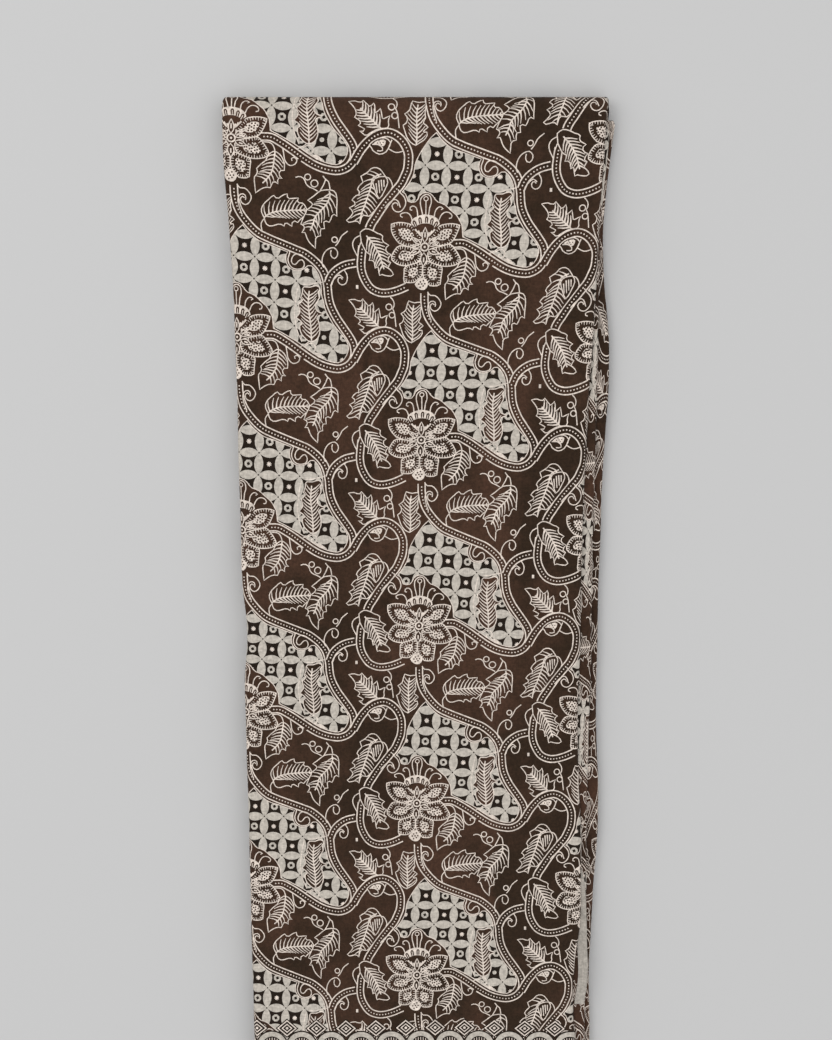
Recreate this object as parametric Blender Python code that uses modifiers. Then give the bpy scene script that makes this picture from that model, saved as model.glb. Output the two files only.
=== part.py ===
"""Batik sarong, folded into a long flat bundle.

A sarong is a tube of printed cotton cloth. Here it is pressed flat, folded lengthwise into
narrow panels and then folded in half across, so that it lies as a strip: the round fold end is
at +Y, the hems are at -Y, and the best side faces up. Metres, +Z up, origin at the middle of
the underside.
"""
import math
from collections import namedtuple

import bmesh
import bpy

# Driving dimensions of the bundle
BUNDLE_LENGTH = 0.578
STACK_HEIGHT = 0.015
WALL = 0.0012
GAP = 0.0003
MM = 0.001

FOLD_END_Y = BUNDLE_LENGTH / 2
HEM_END_Y = -BUNDLE_LENGTH / 2
END_RADIUS = STACK_HEIGHT / 2
END_START_Y = FOLD_END_Y - END_RADIUS

# Folds of the outer cloth: radius of the left fold, of the right roll, and the cloth turned back
LEFT_FOLD_RADIUS = 0.0024
RIGHT_ROLL_RADIUS = 0.0030
TURN_BACK = 0.0080
RIGHT_DROP = 0.0006
UNDER_FOLD_RADIUS = 0.0021
UNDER_LEFT_INSET = 0.0004
UNDER_RIGHT_INSET = 0.0030
UNDER_LIFT = 0.0002

# The round fold end stands in a little from the front cloth's edges
END_LEFT_INSET = 0.0006
END_RIGHT_INSET = 0.0004

# Inner layers: clearance to the fold end, and the taper of their rounded ends
LAYER_END_CLEARANCE = 0.0010
LAYER_TAPER = 0.0020
LAYER_PINCH = 0.25

# Hems at the open end: width, and the extra thickness of the doubled cloth
HEM_WIDTH = 0.0080
HEM_WALL = 0.0018

# How deep the lower folds on the right reach into the stack, measured from the front roll
FOLD_ROOT = 0.0120
FOLD_TOP_Y = 0.2765

# Mesh density
TOP_STEPS = 14
UNDER_STEPS = 6
ARC_STEPS = 6
LAYER_ARC_STEPS = 4
STATION_STEP = 0.030
SWELL_FADE = 0.040

# Edge lines of the bundle, in mm from the origin, a row for each measured section from the fold
# end to the hems: the left fold, the front cloth's roll on the right, and the upper and the
# lower fold that show past it.
Section = namedtuple("Section", "y left front upper lower")
SECTIONS = [
    Section(289, -108.5, 103.1, 105.6, 107.4),
    Section(276, -108.8, 103.0, 106.0, 108.8),
    Section(256, -108.6, 102.3, 104.6, 106.5),
    Section(237, -107.2, 100.6, 102.6, 104.5),
    Section(218, -106.3, 100.1, 101.9, 103.2),
    Section(200, -105.2, 99.5, 101.4, 103.4),
    Section(178, -104.8, 98.7, 101.2, 106.0),
    Section(139, -103.6, 96.6, 101.1, 108.7),
    Section(86, -103.2, 94.8, 101.0, 105.8),
    Section(30, -102.8, 93.6, 100.6, 105.1),
    Section(-24, -102.3, 93.4, 100.5, 104.9),
    Section(-78, -101.8, 92.7, 100.3, 104.9),
    Section(-121, -101.5, 91.9, 100.1, 107.3),
    Section(-184, -101.2, 91.9, 100.6, 105.1),
    Section(-227, -100.6, 91.9, 101.0, 103.6),
    Section(-289, -100.2, 91.9, 101.3, 105.0),
]

# Broad swells of the top cloth, in mm: where each lies, its half widths and its height
Swell = namedtuple("Swell", "x y half_width half_length height")
SWELLS = [
    Swell(-48, 60, 14, 120, -0.40),
    Swell(22, -90, 24, 110, 0.40),
    Swell(-78, -120, 20, 130, 0.30),
    Swell(64, 40, 14, 150, -0.35),
    Swell(74, -190, 12, 90, -0.35),
    Swell(-10, 190, 30, 70, 0.30),
]

# Pairs of inner layers, from the table up, in mm: height band, how far the left fold stands in
# from the bundle's left edge, which line the right side follows and its inset, and how far the
# hem stops short of the open end.
InnerLayer = namedtuple("InnerLayer", "low high left_inset right_line right_inset hem_inset")
INNER_LAYERS = [
    InnerLayer(1.5, 2.9, 2.9, "lower", 3.2, 2.2),
    InnerLayer(2.8, 5.0, 8.7, "front", 12.3, 3.4),
    InnerLayer(4.7, 7.4, 0.8, "front", 12.3, 1.6),
    InnerLayer(7.3, 9.9, 1.6, "front", 12.3, 2.8),
    InnerLayer(9.8, 11.9, 8.7, "front", 12.3, 4.0),
    InnerLayer(11.7, 13.1, 3.3, "front", 2.6, 2.0),
]

# The two lower folds that show on the right, in mm: edge line, height band, hem inset
SideFold = namedtuple("SideFold", "name line low high hem_inset")
SIDE_FOLDS = [
    SideFold("right_fold_upper", "upper", 7.2, 11.1, 1.2),
    SideFold("right_fold_lower", "lower", 3.2, 6.9, 2.6),
]

# The unprinted selvedge that peeps out beside the front cloth, in mm, a row for each section
SelvedgeSection = namedtuple("SelvedgeSection", "y inner outer")
SELVEDGE_HEIGHT = 0.0114
SELVEDGE_WALL = 0.0010
SELVEDGE_SECTIONS = [
    SelvedgeSection(-150, 97.4, 99.6),
    SelvedgeSection(-175, 96.2, 100.4),
    SelvedgeSection(-205, 94.6, 100.6),
    SelvedgeSection(-232, 93.4, 100.9),
    SelvedgeSection(-246, 93.2, 99.0),
]

# Cloth colours, linear RGB
SOGAN_BROWN = (0.055, 0.031, 0.023)
SOGAN_WARM = (0.078, 0.040, 0.028)
RESIST_CREAM = (0.560, 0.500, 0.450)
CLOTH_ROUGHNESS = 0.85


def clear_scene():
    """Take away whatever the file opened with."""
    for item in list(bpy.data.objects):
        bpy.data.objects.remove(item, do_unlink=True)


def make_collection(name):
    """A new collection under the scene's own."""
    collection = bpy.data.collections.new(name)
    bpy.context.scene.collection.children.link(collection)
    return collection


def cloth_material(name, colour):
    """A plain dyed cotton finish."""
    material = bpy.data.materials.new(name)
    material.use_nodes = True
    shader = material.node_tree.nodes["Principled BSDF"]
    shader.inputs["Base Color"].default_value = (*colour, 1.0)
    shader.inputs["Roughness"].default_value = CLOTH_ROUGHNESS
    shader.inputs["Metallic"].default_value = 0.0
    return material


def slope(rows, column, index):
    """Slope of an edge line at one of its rows, from the rows beside it."""
    before = rows[max(index - 1, 0)]
    after = rows[min(index + 1, len(rows) - 1)]
    return (getattr(after, column) - getattr(before, column)) / (after.y - before.y)


def line_at(rows, column, y):
    """An edge line at y, in metres: a smooth curve through the rows of a table in mm."""
    y_mm = min(max(y / MM, rows[-1].y), rows[0].y)
    index = 0
    while index < len(rows) - 2 and y_mm < rows[index + 1].y:
        index += 1
    upper, lower = rows[index], rows[index + 1]
    span = lower.y - upper.y
    t = (y_mm - upper.y) / span
    value = ((1 + 2 * t) * (1 - t) ** 2 * getattr(upper, column)
             + t * (1 - t) ** 2 * span * slope(rows, column, index)
             + t * t * (3 - 2 * t) * getattr(lower, column)
             + t * t * (t - 1) * span * slope(rows, column, index + 1))
    return value * MM


def edge(column, y):
    """One of the bundle's edge lines at y."""
    return line_at(SECTIONS, column, y)


def swell(x, y):
    """Height that the broad swells add to the top cloth."""
    total = 0.0
    for item in SWELLS:
        across = (x / MM - item.x) / item.half_width
        along = (y / MM - item.y) / item.half_length
        total += item.height * math.exp(-across * across - along * along)
    fade = min(1.0, max(0.0, (END_START_Y - y) / SWELL_FADE))
    return total * MM * fade


def arc(centre_x, centre_z, radius, start, end, steps):
    """Points on an arc, angles in degrees from +X."""
    points = []
    for step in range(steps + 1):
        angle = math.radians(start + (end - start) * step / steps)
        points.append((centre_x + radius * math.cos(angle), centre_z + radius * math.sin(angle)))
    return points


def stations(start_y, end_y):
    """Evenly spaced places along the bundle, no further apart than the station step."""
    count = max(1, math.ceil(abs(end_y - start_y) / STATION_STEP))
    return [start_y + (end_y - start_y) * step / count for step in range(count + 1)]


def front_path(y, lift=0.0):
    """Outer face of the front cloth: turned-back cloth, left fold, top, right roll."""
    left, front = edge("left", y) - lift, edge("front", y) + lift
    radius = LEFT_FOLD_RADIUS + lift
    top = STACK_HEIGHT + lift
    start_x = left + radius
    end_x = front - RIGHT_ROLL_RADIUS
    points = [(start_x + TURN_BACK - radius, top - 2 * radius)]
    points += arc(start_x, top - radius, radius, 270, 90, 2 * ARC_STEPS)[:-1]
    for step in range(TOP_STEPS + 1):
        x = start_x + (end_x - start_x) * step / TOP_STEPS
        fade = math.sin(math.pi * step / TOP_STEPS) ** 0.5
        points.append((x, top + swell(x, y) * fade))
    points += arc(end_x, top - RIGHT_ROLL_RADIUS, RIGHT_ROLL_RADIUS, 90, 0, ARC_STEPS)[1:]
    points.append((front, top - RIGHT_ROLL_RADIUS - RIGHT_DROP))
    return points


def back_path(y, lift=0.0):
    """Outer face of the back cloth: flat underside from the right, left fold, turned-back cloth."""
    left = edge("left", y) + UNDER_LEFT_INSET - lift
    right = edge("lower", y) - UNDER_RIGHT_INSET
    radius = UNDER_FOLD_RADIUS
    start_x = left + radius
    width = right - start_x
    points = [(right - width * step / UNDER_STEPS, 0.0) for step in range(UNDER_STEPS)]
    points += arc(start_x, radius, radius, 270, 90, 2 * ARC_STEPS)
    points.append((start_x + TURN_BACK - radius, 2 * radius))
    return points


def side_fold_path(fold, y):
    """Outer face of a lower fold on the right: in along the top, round the fold, and back."""
    tip = edge(fold.line, y)
    root = edge("front", y) - FOLD_ROOT
    low, high = fold.low * MM, fold.high * MM
    radius = (high - low) / 2
    points = [(root, high), ((root + tip - radius) / 2, high)]
    points += arc(tip - radius, (low + high) / 2, radius, 90, -90, 2 * ARC_STEPS)
    points.append((root, low))
    return points


def sheet_object(name, rows, thickness, material, collection):
    """A wall of cloth: an open grid through rows of points, solidified towards its inner side."""
    mesh = bpy.data.meshes.new(name)
    work = bmesh.new()
    grid = [[work.verts.new(point) for point in row] for row in rows]
    for upper, lower in zip(grid, grid[1:]):
        for index in range(len(upper) - 1):
            work.faces.new((upper[index], lower[index], lower[index + 1], upper[index + 1]))
    work.to_mesh(mesh)
    work.free()
    mesh.materials.append(material)
    item = bpy.data.objects.new(name, mesh)
    collection.objects.link(item)
    solidify = item.modifiers.new("Wall", "SOLIDIFY")
    solidify.thickness = thickness
    solidify.offset = -1.0
    solidify.use_even_offset = True
    mesh.shade_smooth()
    return item


def swept_sheet(name, path, places, thickness, material, collection):
    """A wall of cloth whose section at each place along Y is given by a function."""
    rows = [[(x, y, z) for x, z in path(y)] for y in places]
    return sheet_object(name, rows, thickness, material, collection)


def build_front(collection, materials):
    """The front stretch, its hem, and the round fold at the far end."""
    hem_y = HEM_END_Y + HEM_WIDTH
    swept_sheet("front_stretch", front_path, stations(END_START_Y - GAP, hem_y + GAP),
                WALL, materials["brown"], collection)
    extra = HEM_WALL - WALL
    swept_sheet("front_hem", lambda y: front_path(y, extra / 2), [hem_y, HEM_END_Y],
                HEM_WALL, materials["warm"], collection)
    rows = []
    for y_out, z_out in arc(END_START_Y, END_RADIUS, END_RADIUS, 90, -90, 2 * ARC_STEPS):
        left = edge("left", y_out) + END_LEFT_INSET
        right = edge("front", y_out) - END_RIGHT_INSET
        xs = [left + (right - left) * step / TOP_STEPS for step in range(TOP_STEPS + 1)]
        rows.append([(x, y_out, z_out) for x in reversed(xs)])
    sheet_object("end_fold", rows, WALL, materials["brown"], collection)


def build_back(collection, materials):
    """The back stretch, flat on the table, and its hem."""
    hem_y = HEM_END_Y + HEM_WIDTH
    swept_sheet("back_stretch", back_path, stations(END_START_Y - GAP, hem_y + GAP),
                WALL, materials["brown"], collection)
    swept_sheet("back_hem", lambda y: back_path(y, UNDER_LIFT), [hem_y, HEM_END_Y + 2 * GAP],
                WALL, materials["warm"], collection)


def build_side_folds(collection, materials):
    """The lower folds on the right and the selvedge that peeps out beside the front cloth."""
    for fold in SIDE_FOLDS:
        places = stations(FOLD_TOP_Y, HEM_END_Y + fold.hem_inset * MM)
        swept_sheet(fold.name, lambda y, fold=fold: side_fold_path(fold, y), places,
                    WALL, materials["brown"], collection)
    rows = []
    for section in SELVEDGE_SECTIONS:
        inner, outer = section.inner * MM, section.outer * MM
        height = SELVEDGE_HEIGHT + SELVEDGE_WALL
        middle = (inner + outer) / 2
        rows.append([(inner, section.y * MM, height), (middle, section.y * MM, height),
                     (outer, section.y * MM, height)])
    sheet_object("selvedge", rows, SELVEDGE_WALL, materials["cream"], collection)


def layer_outline(layer, y, low, high):
    """Section of a pair of inner layers: flat, with a rounded fold at each side."""
    left = edge("left", y) + layer.left_inset * MM
    right = edge(layer.right_line, y) - layer.right_inset * MM
    radius = (high - low) / 2
    middle = (low + high) / 2
    return (arc(left + radius, middle, radius, 270, 90, LAYER_ARC_STEPS)
            + arc(right - radius, middle, radius, 90, -90, LAYER_ARC_STEPS))


def layer_solid(layer, collection, material):
    """One pair of inner layers as a closed solid with a rounded fold end."""
    low, high = layer.low * MM, layer.high * MM
    middle = (low + high) / 2 - END_RADIUS
    reach = math.sqrt((END_RADIUS - WALL - 2 * GAP) ** 2 - middle * middle)
    tip_y = END_START_Y + reach - LAYER_END_CLEARANCE
    places = [tip_y] + stations(tip_y - LAYER_TAPER, HEM_END_Y + layer.hem_inset * MM)
    mesh = bpy.data.meshes.new("layer")
    work = bmesh.new()
    rings = []
    for index, y in enumerate(places):
        pinch = LAYER_PINCH * (high - low) if index == 0 else 0.0
        rings.append([work.verts.new((x, y, z))
                      for x, z in layer_outline(layer, y, low + pinch, high - pinch)])
    for upper, lower in zip(rings, rings[1:]):
        for index in range(len(upper)):
            after = (index + 1) % len(upper)
            work.faces.new((upper[index], lower[index], lower[after], upper[after]))
    work.faces.new(rings[0])
    work.faces.new(list(reversed(rings[-1])))
    bmesh.ops.recalc_face_normals(work, faces=work.faces)
    work.to_mesh(mesh)
    work.free()
    mesh.materials.append(material)
    item = bpy.data.objects.new("layer", mesh)
    collection.objects.link(item)
    return item


def build_hidden_layers(collection, cutters, materials):
    """The layers inside the bundle, joined into one solid that stays layered at its edges."""
    layers = [layer_solid(layer, cutters, materials["warm"]) for layer in INNER_LAYERS]
    base = layers[0]
    cutters.objects.unlink(base)
    collection.objects.link(base)
    base.name = base.data.name = "hidden_layers"
    for number, other in enumerate(layers[1:], start=1):
        other.name = f"inner_layer_{number}"
        other.hide_render = True
        other.display_type = "WIRE"
        union = base.modifiers.new(f"Join {number}", "BOOLEAN")
        union.operation = "UNION"
        union.object = other


def main():
    """Build the folded sarong."""
    clear_scene()
    collection = make_collection("batik_sarong")
    cutters = make_collection("guides")
    materials = {
        "brown": cloth_material("sogan_brown_batik", SOGAN_BROWN),
        "warm": cloth_material("sogan_warm_batik", SOGAN_WARM),
        "cream": cloth_material("unprinted_selvedge", RESIST_CREAM),
    }
    build_front(collection, materials)
    build_back(collection, materials)
    build_side_folds(collection, materials)
    build_hidden_layers(collection, cutters, materials)


main()
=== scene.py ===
"""Batik sarong, folded flat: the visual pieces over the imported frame. Lengths in mm till placed."""
import math

import bpy
import numpy as np
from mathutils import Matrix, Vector
from mathutils.bvhtree import BVHTree
from mathutils.geometry import delaunay_2d_cdt


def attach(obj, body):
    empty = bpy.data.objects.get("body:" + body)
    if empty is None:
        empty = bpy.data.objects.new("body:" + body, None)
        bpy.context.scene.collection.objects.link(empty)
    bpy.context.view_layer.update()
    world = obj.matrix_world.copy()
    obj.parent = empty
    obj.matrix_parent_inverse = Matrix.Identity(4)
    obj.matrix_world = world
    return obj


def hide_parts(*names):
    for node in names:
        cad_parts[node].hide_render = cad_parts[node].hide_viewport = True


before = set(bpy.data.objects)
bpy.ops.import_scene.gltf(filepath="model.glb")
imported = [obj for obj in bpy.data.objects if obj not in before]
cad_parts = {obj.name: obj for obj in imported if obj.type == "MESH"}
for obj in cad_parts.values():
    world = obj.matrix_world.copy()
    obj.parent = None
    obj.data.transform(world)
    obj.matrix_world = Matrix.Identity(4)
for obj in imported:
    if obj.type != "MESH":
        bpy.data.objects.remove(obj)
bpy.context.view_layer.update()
scene = bpy.context.scene

# The print.
# Wax-resist batik on brown cotton: one repeat of flower, stems, leaves and a kawung patch, drawn
# as small shapes, which are laid on each other and then cut into triangles of one ink.
REPEAT_WIDTH, REPEAT_HEIGHT = 100.0, 108.5
GROUND, LINE_WAX, FILL_WAX, DARK = 0, 1, 2, 3
PATCH_LEVEL, STEM_LEVEL, LEAF_LEVEL, FLOWER_LEVEL = 0, 1, 2, 3
THICK, MIDDLE, FINE = 0.70, 0.56, 0.46
STEM_HALF = 2.0
CHART_WIDTH, CHART_HEIGHT, CHART_TILT = 0.972, 1.014, 0.018

drawing = []


def paint(level, ink, polygon, mask=None):
    """Lay one shape on the repeat. A mask is the shape that it stays inside."""
    x, y = np.asarray(polygon, dtype=float).T
    points = np.column_stack([CHART_WIDTH * x, CHART_HEIGHT * y + CHART_TILT * x])
    x, y = points[:, 0], points[:, 1]
    area = (np.dot(x, np.roll(y, -1)) - np.dot(y, np.roll(x, -1))) / 2
    if abs(area) > 1e-3:
        drawing.append((level, ink, points if area > 0 else points[::-1], mask))


def even_steps(line, step):
    """The line cut into even steps."""
    lengths = np.concatenate([[0.0], np.cumsum(np.hypot(*np.diff(line, axis=0).T))])
    places = np.linspace(0.0, lengths[-1], max(2, int(round(lengths[-1] / step))) + 1)
    return np.column_stack([np.interp(places, lengths, line[:, k]) for k in (0, 1)])


def smooth(points, step=1.5, closed=False):
    """A round line through a few points."""
    p = np.asarray(points, dtype=float)
    if closed:
        q = np.vstack([p[-1:], p, p[:2]])
    else:
        q = np.vstack([2 * p[:1] - p[1:2], p, 2 * p[-1:] - p[-2:-1]])
    t = np.linspace(0, 1, 9)[:-1, None]
    line = []
    for a, b, c, d in zip(q, q[1:], q[2:], q[3:]):
        line.append(0.5 * (2 * b + (c - a) * t + (2 * a - 5 * b + 4 * c - d) * t ** 2
                           + (3 * b - a - 3 * c + d) * t ** 3))
    line.append(p[:1] if closed else p[-1:])
    even = even_steps(np.vstack(line), step)
    return even[:-1] if closed else even


def beside(line, offset, closed=False):
    """The line moved to its left, or to its right where the offset is negative."""
    before, after = np.roll(line, 1, axis=0), np.roll(line, -1, axis=0)
    if not closed:
        before[0], after[-1] = line[0], line[-1]
    way = after - before
    way /= np.maximum(np.hypot(way[:, 0], way[:, 1]), 1e-9)[:, None]
    return line + np.column_stack([-way[:, 1], way[:, 0]]) * offset


def stroke(level, line, width, closed=False, ink=LINE_WAX, mask=None, taper=1.0):
    """A drawn line, as a row of quads."""
    line = np.asarray(line, dtype=float)
    half = (np.linspace(1.0, taper, len(line)) * width / 2)[:, None]
    left, right = beside(line, half, closed), beside(line, -half, closed)
    for i in range(len(line) if closed else len(line) - 1):
        j = (i + 1) % len(line)
        quad = np.array([right[i], right[j], left[j], left[i]])
        way, after = np.roll(quad, -1, axis=0) - quad, np.roll(quad, -2, axis=0) - np.roll(quad, -1, axis=0)
        if (way[:, 0] * after[:, 1] - way[:, 1] * after[:, 0] > 1e-4).all():
            paint(level, ink, quad, mask)
        else:
            paint(level, ink, quad[:3], mask)
            paint(level, ink, quad[[0, 2, 3]], mask)


def round_points(centre, radius, sides, start=0.0):
    """Points round a circle."""
    angle = np.arange(sides) * 2 * math.pi / sides + start
    return np.column_stack([centre[0] + radius * np.cos(angle), centre[1] + radius * np.sin(angle)])


def dot(level, centre, radius, sides=5, ink=LINE_WAX, mask=None):
    """A round dot of wax."""
    paint(level, ink, round_points(centre, radius, sides, centre[0]), mask)


def ring(level, centre, radius, width, sides=11):
    """A small circle line."""
    stroke(level, round_points(centre, radius, sides), width, closed=True)


def stem(points, half=STEM_HALF):
    """A stem: two lines with a row of dots between them."""
    middle = smooth(points, 1.85)
    stroke(STEM_LEVEL, middle, 2 * half + THICK, ink=GROUND)
    for side in (-half, half):
        stroke(STEM_LEVEL, beside(middle, side), THICK)
    for place in middle[1:-1]:
        dot(STEM_LEVEL, place, 0.5, 4)


def toothed(points, step=1.7):
    """A closed outline, smooth but for its sharp tips, which are given with a third number."""
    flat = [point[:2] for point in points]
    tips = [k for k, point in enumerate(points) if len(point) > 2]
    if not tips:
        return smooth(flat, step, closed=True)
    runs = []
    for a, b in zip(tips, tips[1:] + [tips[0] + len(points)]):
        runs.append(smooth([flat[k % len(points)] for k in range(a, b + 1)], step)[:-1])
    return np.vstack(runs)


def across(axis):
    """A unit step to the left of an axis."""
    return np.array([-axis[1], axis[0]]) / math.hypot(*axis)


def turned(way, degrees):
    """A direction turned to the left."""
    angle = math.radians(degrees)
    return np.array([way[0] * math.cos(angle) - way[1] * math.sin(angle),
                     way[0] * math.sin(angle) + way[1] * math.cos(angle)])


def crossing(outline, point, way):
    """How far a point is from an outline, going one way."""
    ends = np.roll(outline, -1, axis=0) - outline
    gap = outline - point
    spread = way[0] * ends[:, 1] - way[1] * ends[:, 0]
    spread = np.where(np.abs(spread) < 1e-9, 1e-9, spread)
    far = (gap[:, 0] * ends[:, 1] - gap[:, 1] * ends[:, 0]) / spread
    along = (gap[:, 0] * way[1] - gap[:, 1] * way[0]) / spread
    hits = far[(along >= 0) & (along <= 1) & (far > 0.05)]
    return hits.min() if len(hits) else 0.0


def depth_inside(outline, points):
    """How far points lie inside an outline, below zero outside it."""
    start, step = outline[None], (np.roll(outline, -1, axis=0) - outline)[None]
    gap = points[:, None] - start
    t = np.clip((gap * step).sum(axis=2) / np.maximum((step ** 2).sum(axis=2), 1e-9), 0, 1)
    away = np.linalg.norm(gap - step * t[..., None], axis=2).min(axis=1)
    above = (start[..., 1] > points[:, None, 1]) != (start[..., 1] + step[..., 1] > points[:, None, 1])
    level = np.where(np.abs(step[..., 1]) < 1e-9, 1e-9, step[..., 1])
    right = points[:, None, 0] < start[..., 0] + step[..., 0] * (points[:, None, 1] - start[..., 1]) / level
    return away * np.where((above & right).sum(axis=1) % 2 == 1, 1.0, -1.0)


def stippled(level, outline, spacing, radius, spin=0.0, margin=0.75):
    """A shape filled with wax but for rows of small brown dots."""
    outline = np.asarray(outline, dtype=float)
    paint(level, LINE_WAX, outline)
    i, j = np.meshgrid(np.arange(-9, 10), np.arange(-9, 10))
    spots = np.column_stack([(i + 0.5 * (j % 2)).ravel() * spacing, j.ravel() * spacing * 0.87])
    spots += 0.2 * spacing * np.column_stack([np.sin(spots[:, 1] * 2.1 + spin), np.sin(spots[:, 0] * 1.7)])
    spots = np.array([turned(spot, spin) for spot in spots]) + outline.mean(axis=0)
    for spot in spots[depth_inside(outline, spots) > margin]:
        dot(level, spot, radius, 4, GROUND)


def leaf(points, rib, gap=2.1, left=48, right=48, thick=0.8):
    """A saw-edged leaf: its outline, a rib, and veins that thin out towards the edge."""
    outline = toothed(points)
    paint(LEAF_LEVEL, GROUND, outline)
    line = smooth(rib, 0.7)
    for at in range(2, len(line) - 2, max(1, round(gap / 0.7))):
        way = line[at + 1] - line[at - 1]
        way /= math.hypot(*way)
        for slant in (left, -right):
            out = turned(way, slant)
            far = min(crossing(outline, line[at], out), 7.0)
            if far > 1.3:
                bent = line[at] + out * far * 0.5 - way * far * 0.07
                stroke(LEAF_LEVEL, [line[at], bent, line[at] + out * (far - 0.5)], thick, taper=0.35)
    stroke(LEAF_LEVEL, smooth(rib, 2.2), THICK)
    stroke(LEAF_LEVEL, outline, MIDDLE, closed=True)


def almond(level, base, tip, half, width=FINE, core=True, inside=GROUND):
    """A narrow pointed petal with a line in its heart."""
    base, tip = np.array(base, float), np.array(tip, float)
    axis = tip - base
    t = np.array([0.0, 0.25, 0.55, 0.8, 1.0])
    width_at = (half * np.sin(math.pi * t ** 0.85))[:, None] * across(axis)
    middle = base + axis * t[:, None]
    outline = np.vstack([middle + width_at, (middle - width_at)[::-1][1:-1]])
    paint(level, inside, outline)
    stroke(level, outline, width, closed=True)
    if core:
        stroke(level, [base + axis * 0.35, base + axis * 0.7], 0.75)


def lens(start, end, half, mask):
    """A filled petal of the kawung, between two knots of its grid."""
    start, end = np.array(start, float), np.array(end, float)
    axis = end - start
    t = np.linspace(0.035, 0.965, 7)
    width_at = (half * np.sin(math.pi * t) ** 0.72)[:, None] * across(axis)
    middle = start + axis * t[:, None]
    paint(PATCH_LEVEL, FILL_WAX, np.vstack([middle + width_at, (middle - width_at)[::-1]]), mask)


def draw_kawung():
    """The patch of kawung: four-petalled knots on a grid, with a small mark in each square."""
    edge = toothed([
        (4.7, 61.2, 1), (7.4, 57.6), (13.2, 52.9), (19.8, 50.6), (28.9, 47.2, 1), (27.9, 45.1), (27.8, 42),
        (28.9, 39.3), (31.2, 37.4), (34.3, 37), (37, 37.8), (39.3, 39.7), (40.9, 40.3), (43.2, 38.6),
        (45.5, 34.7), (46.5, 29.7), (46.6, 24), (47.6, 20.8), (48.3, 16.7), (50.6, 11.9), (53.6, 7),
        (57.3, 2.9), (59.9, -0.5), (61.1, -3.9), (60.3, -7.6), (58.4, -10.6), (55.6, -12.3), (51.5, -11.9),
        (46.5, -10.2), (42, -7.8), (37.9, -5.0), (33.7, -2), (29.2, 0.6), (23.6, 3.6), (20.2, 5.2, 1),
        (19.9, 8.5), (19.5, 11.5), (18.4, 13.7), (16.6, 16.7), (13.2, 19.7), (9.8, 22.7), (5.6, 24.4),
        (3.9, 26.6), (2.2, 28.5), (-0.3, 29.3), (-2.5, 28.6), (-4.4, 26.7), (-5.3, 24.3), (-9.6, 23.9),
        (-11.1, 27.8), (-13.2, 29.2, 1), (-11.1, 31.9), (-8.9, 35.3), (-7.2, 39.4), (-6.6, 44.3),
        (-4.6, 49), (-1.8, 53.7), (1.5, 58.2)], 2.1)
    mask = len(drawing)
    paint(PATCH_LEVEL, DARK, edge)

    def knot(i, j):
        past = max(i - 3, 0)
        return (-1.9 + 11.7 * i + 0.8 * j - 0.8 * past, 31.8 + 12.2 * j - 0.2 * i + 0.4 * past)

    for i in range(-2, 7):
        for j in range(-4, 4):
            lens(knot(i, j), knot(i + 1, j), 2.65, mask)
            lens(knot(i, j), knot(i, j + 1), 2.6, mask)
            x, y = np.mean([knot(i, j), knot(i + 1, j + 1)], axis=0)
            if (i + j) % 2 == 0:
                paint(PATCH_LEVEL, FILL_WAX, round_points((x, y), 2.3, 8, math.pi / 8), mask)
                dot(PATCH_LEVEL, (x, y), 1.15, 4, DARK, mask)
            elif (i, j) == (4, -3):
                dot(PATCH_LEVEL, (x, y), 1.3, 7, FILL_WAX, mask)
            else:
                for k in range(4):
                    way = turned((1.35, 0.0), 45 * k + 7 * i)
                    stroke(PATCH_LEVEL, [(x, y) - way, (x, y) + way], 0.55, mask=mask)
                dot(PATCH_LEVEL, (x, y), 0.9, 6, mask=mask)
    stroke(PATCH_LEVEL, edge, FINE, closed=True)


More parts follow.
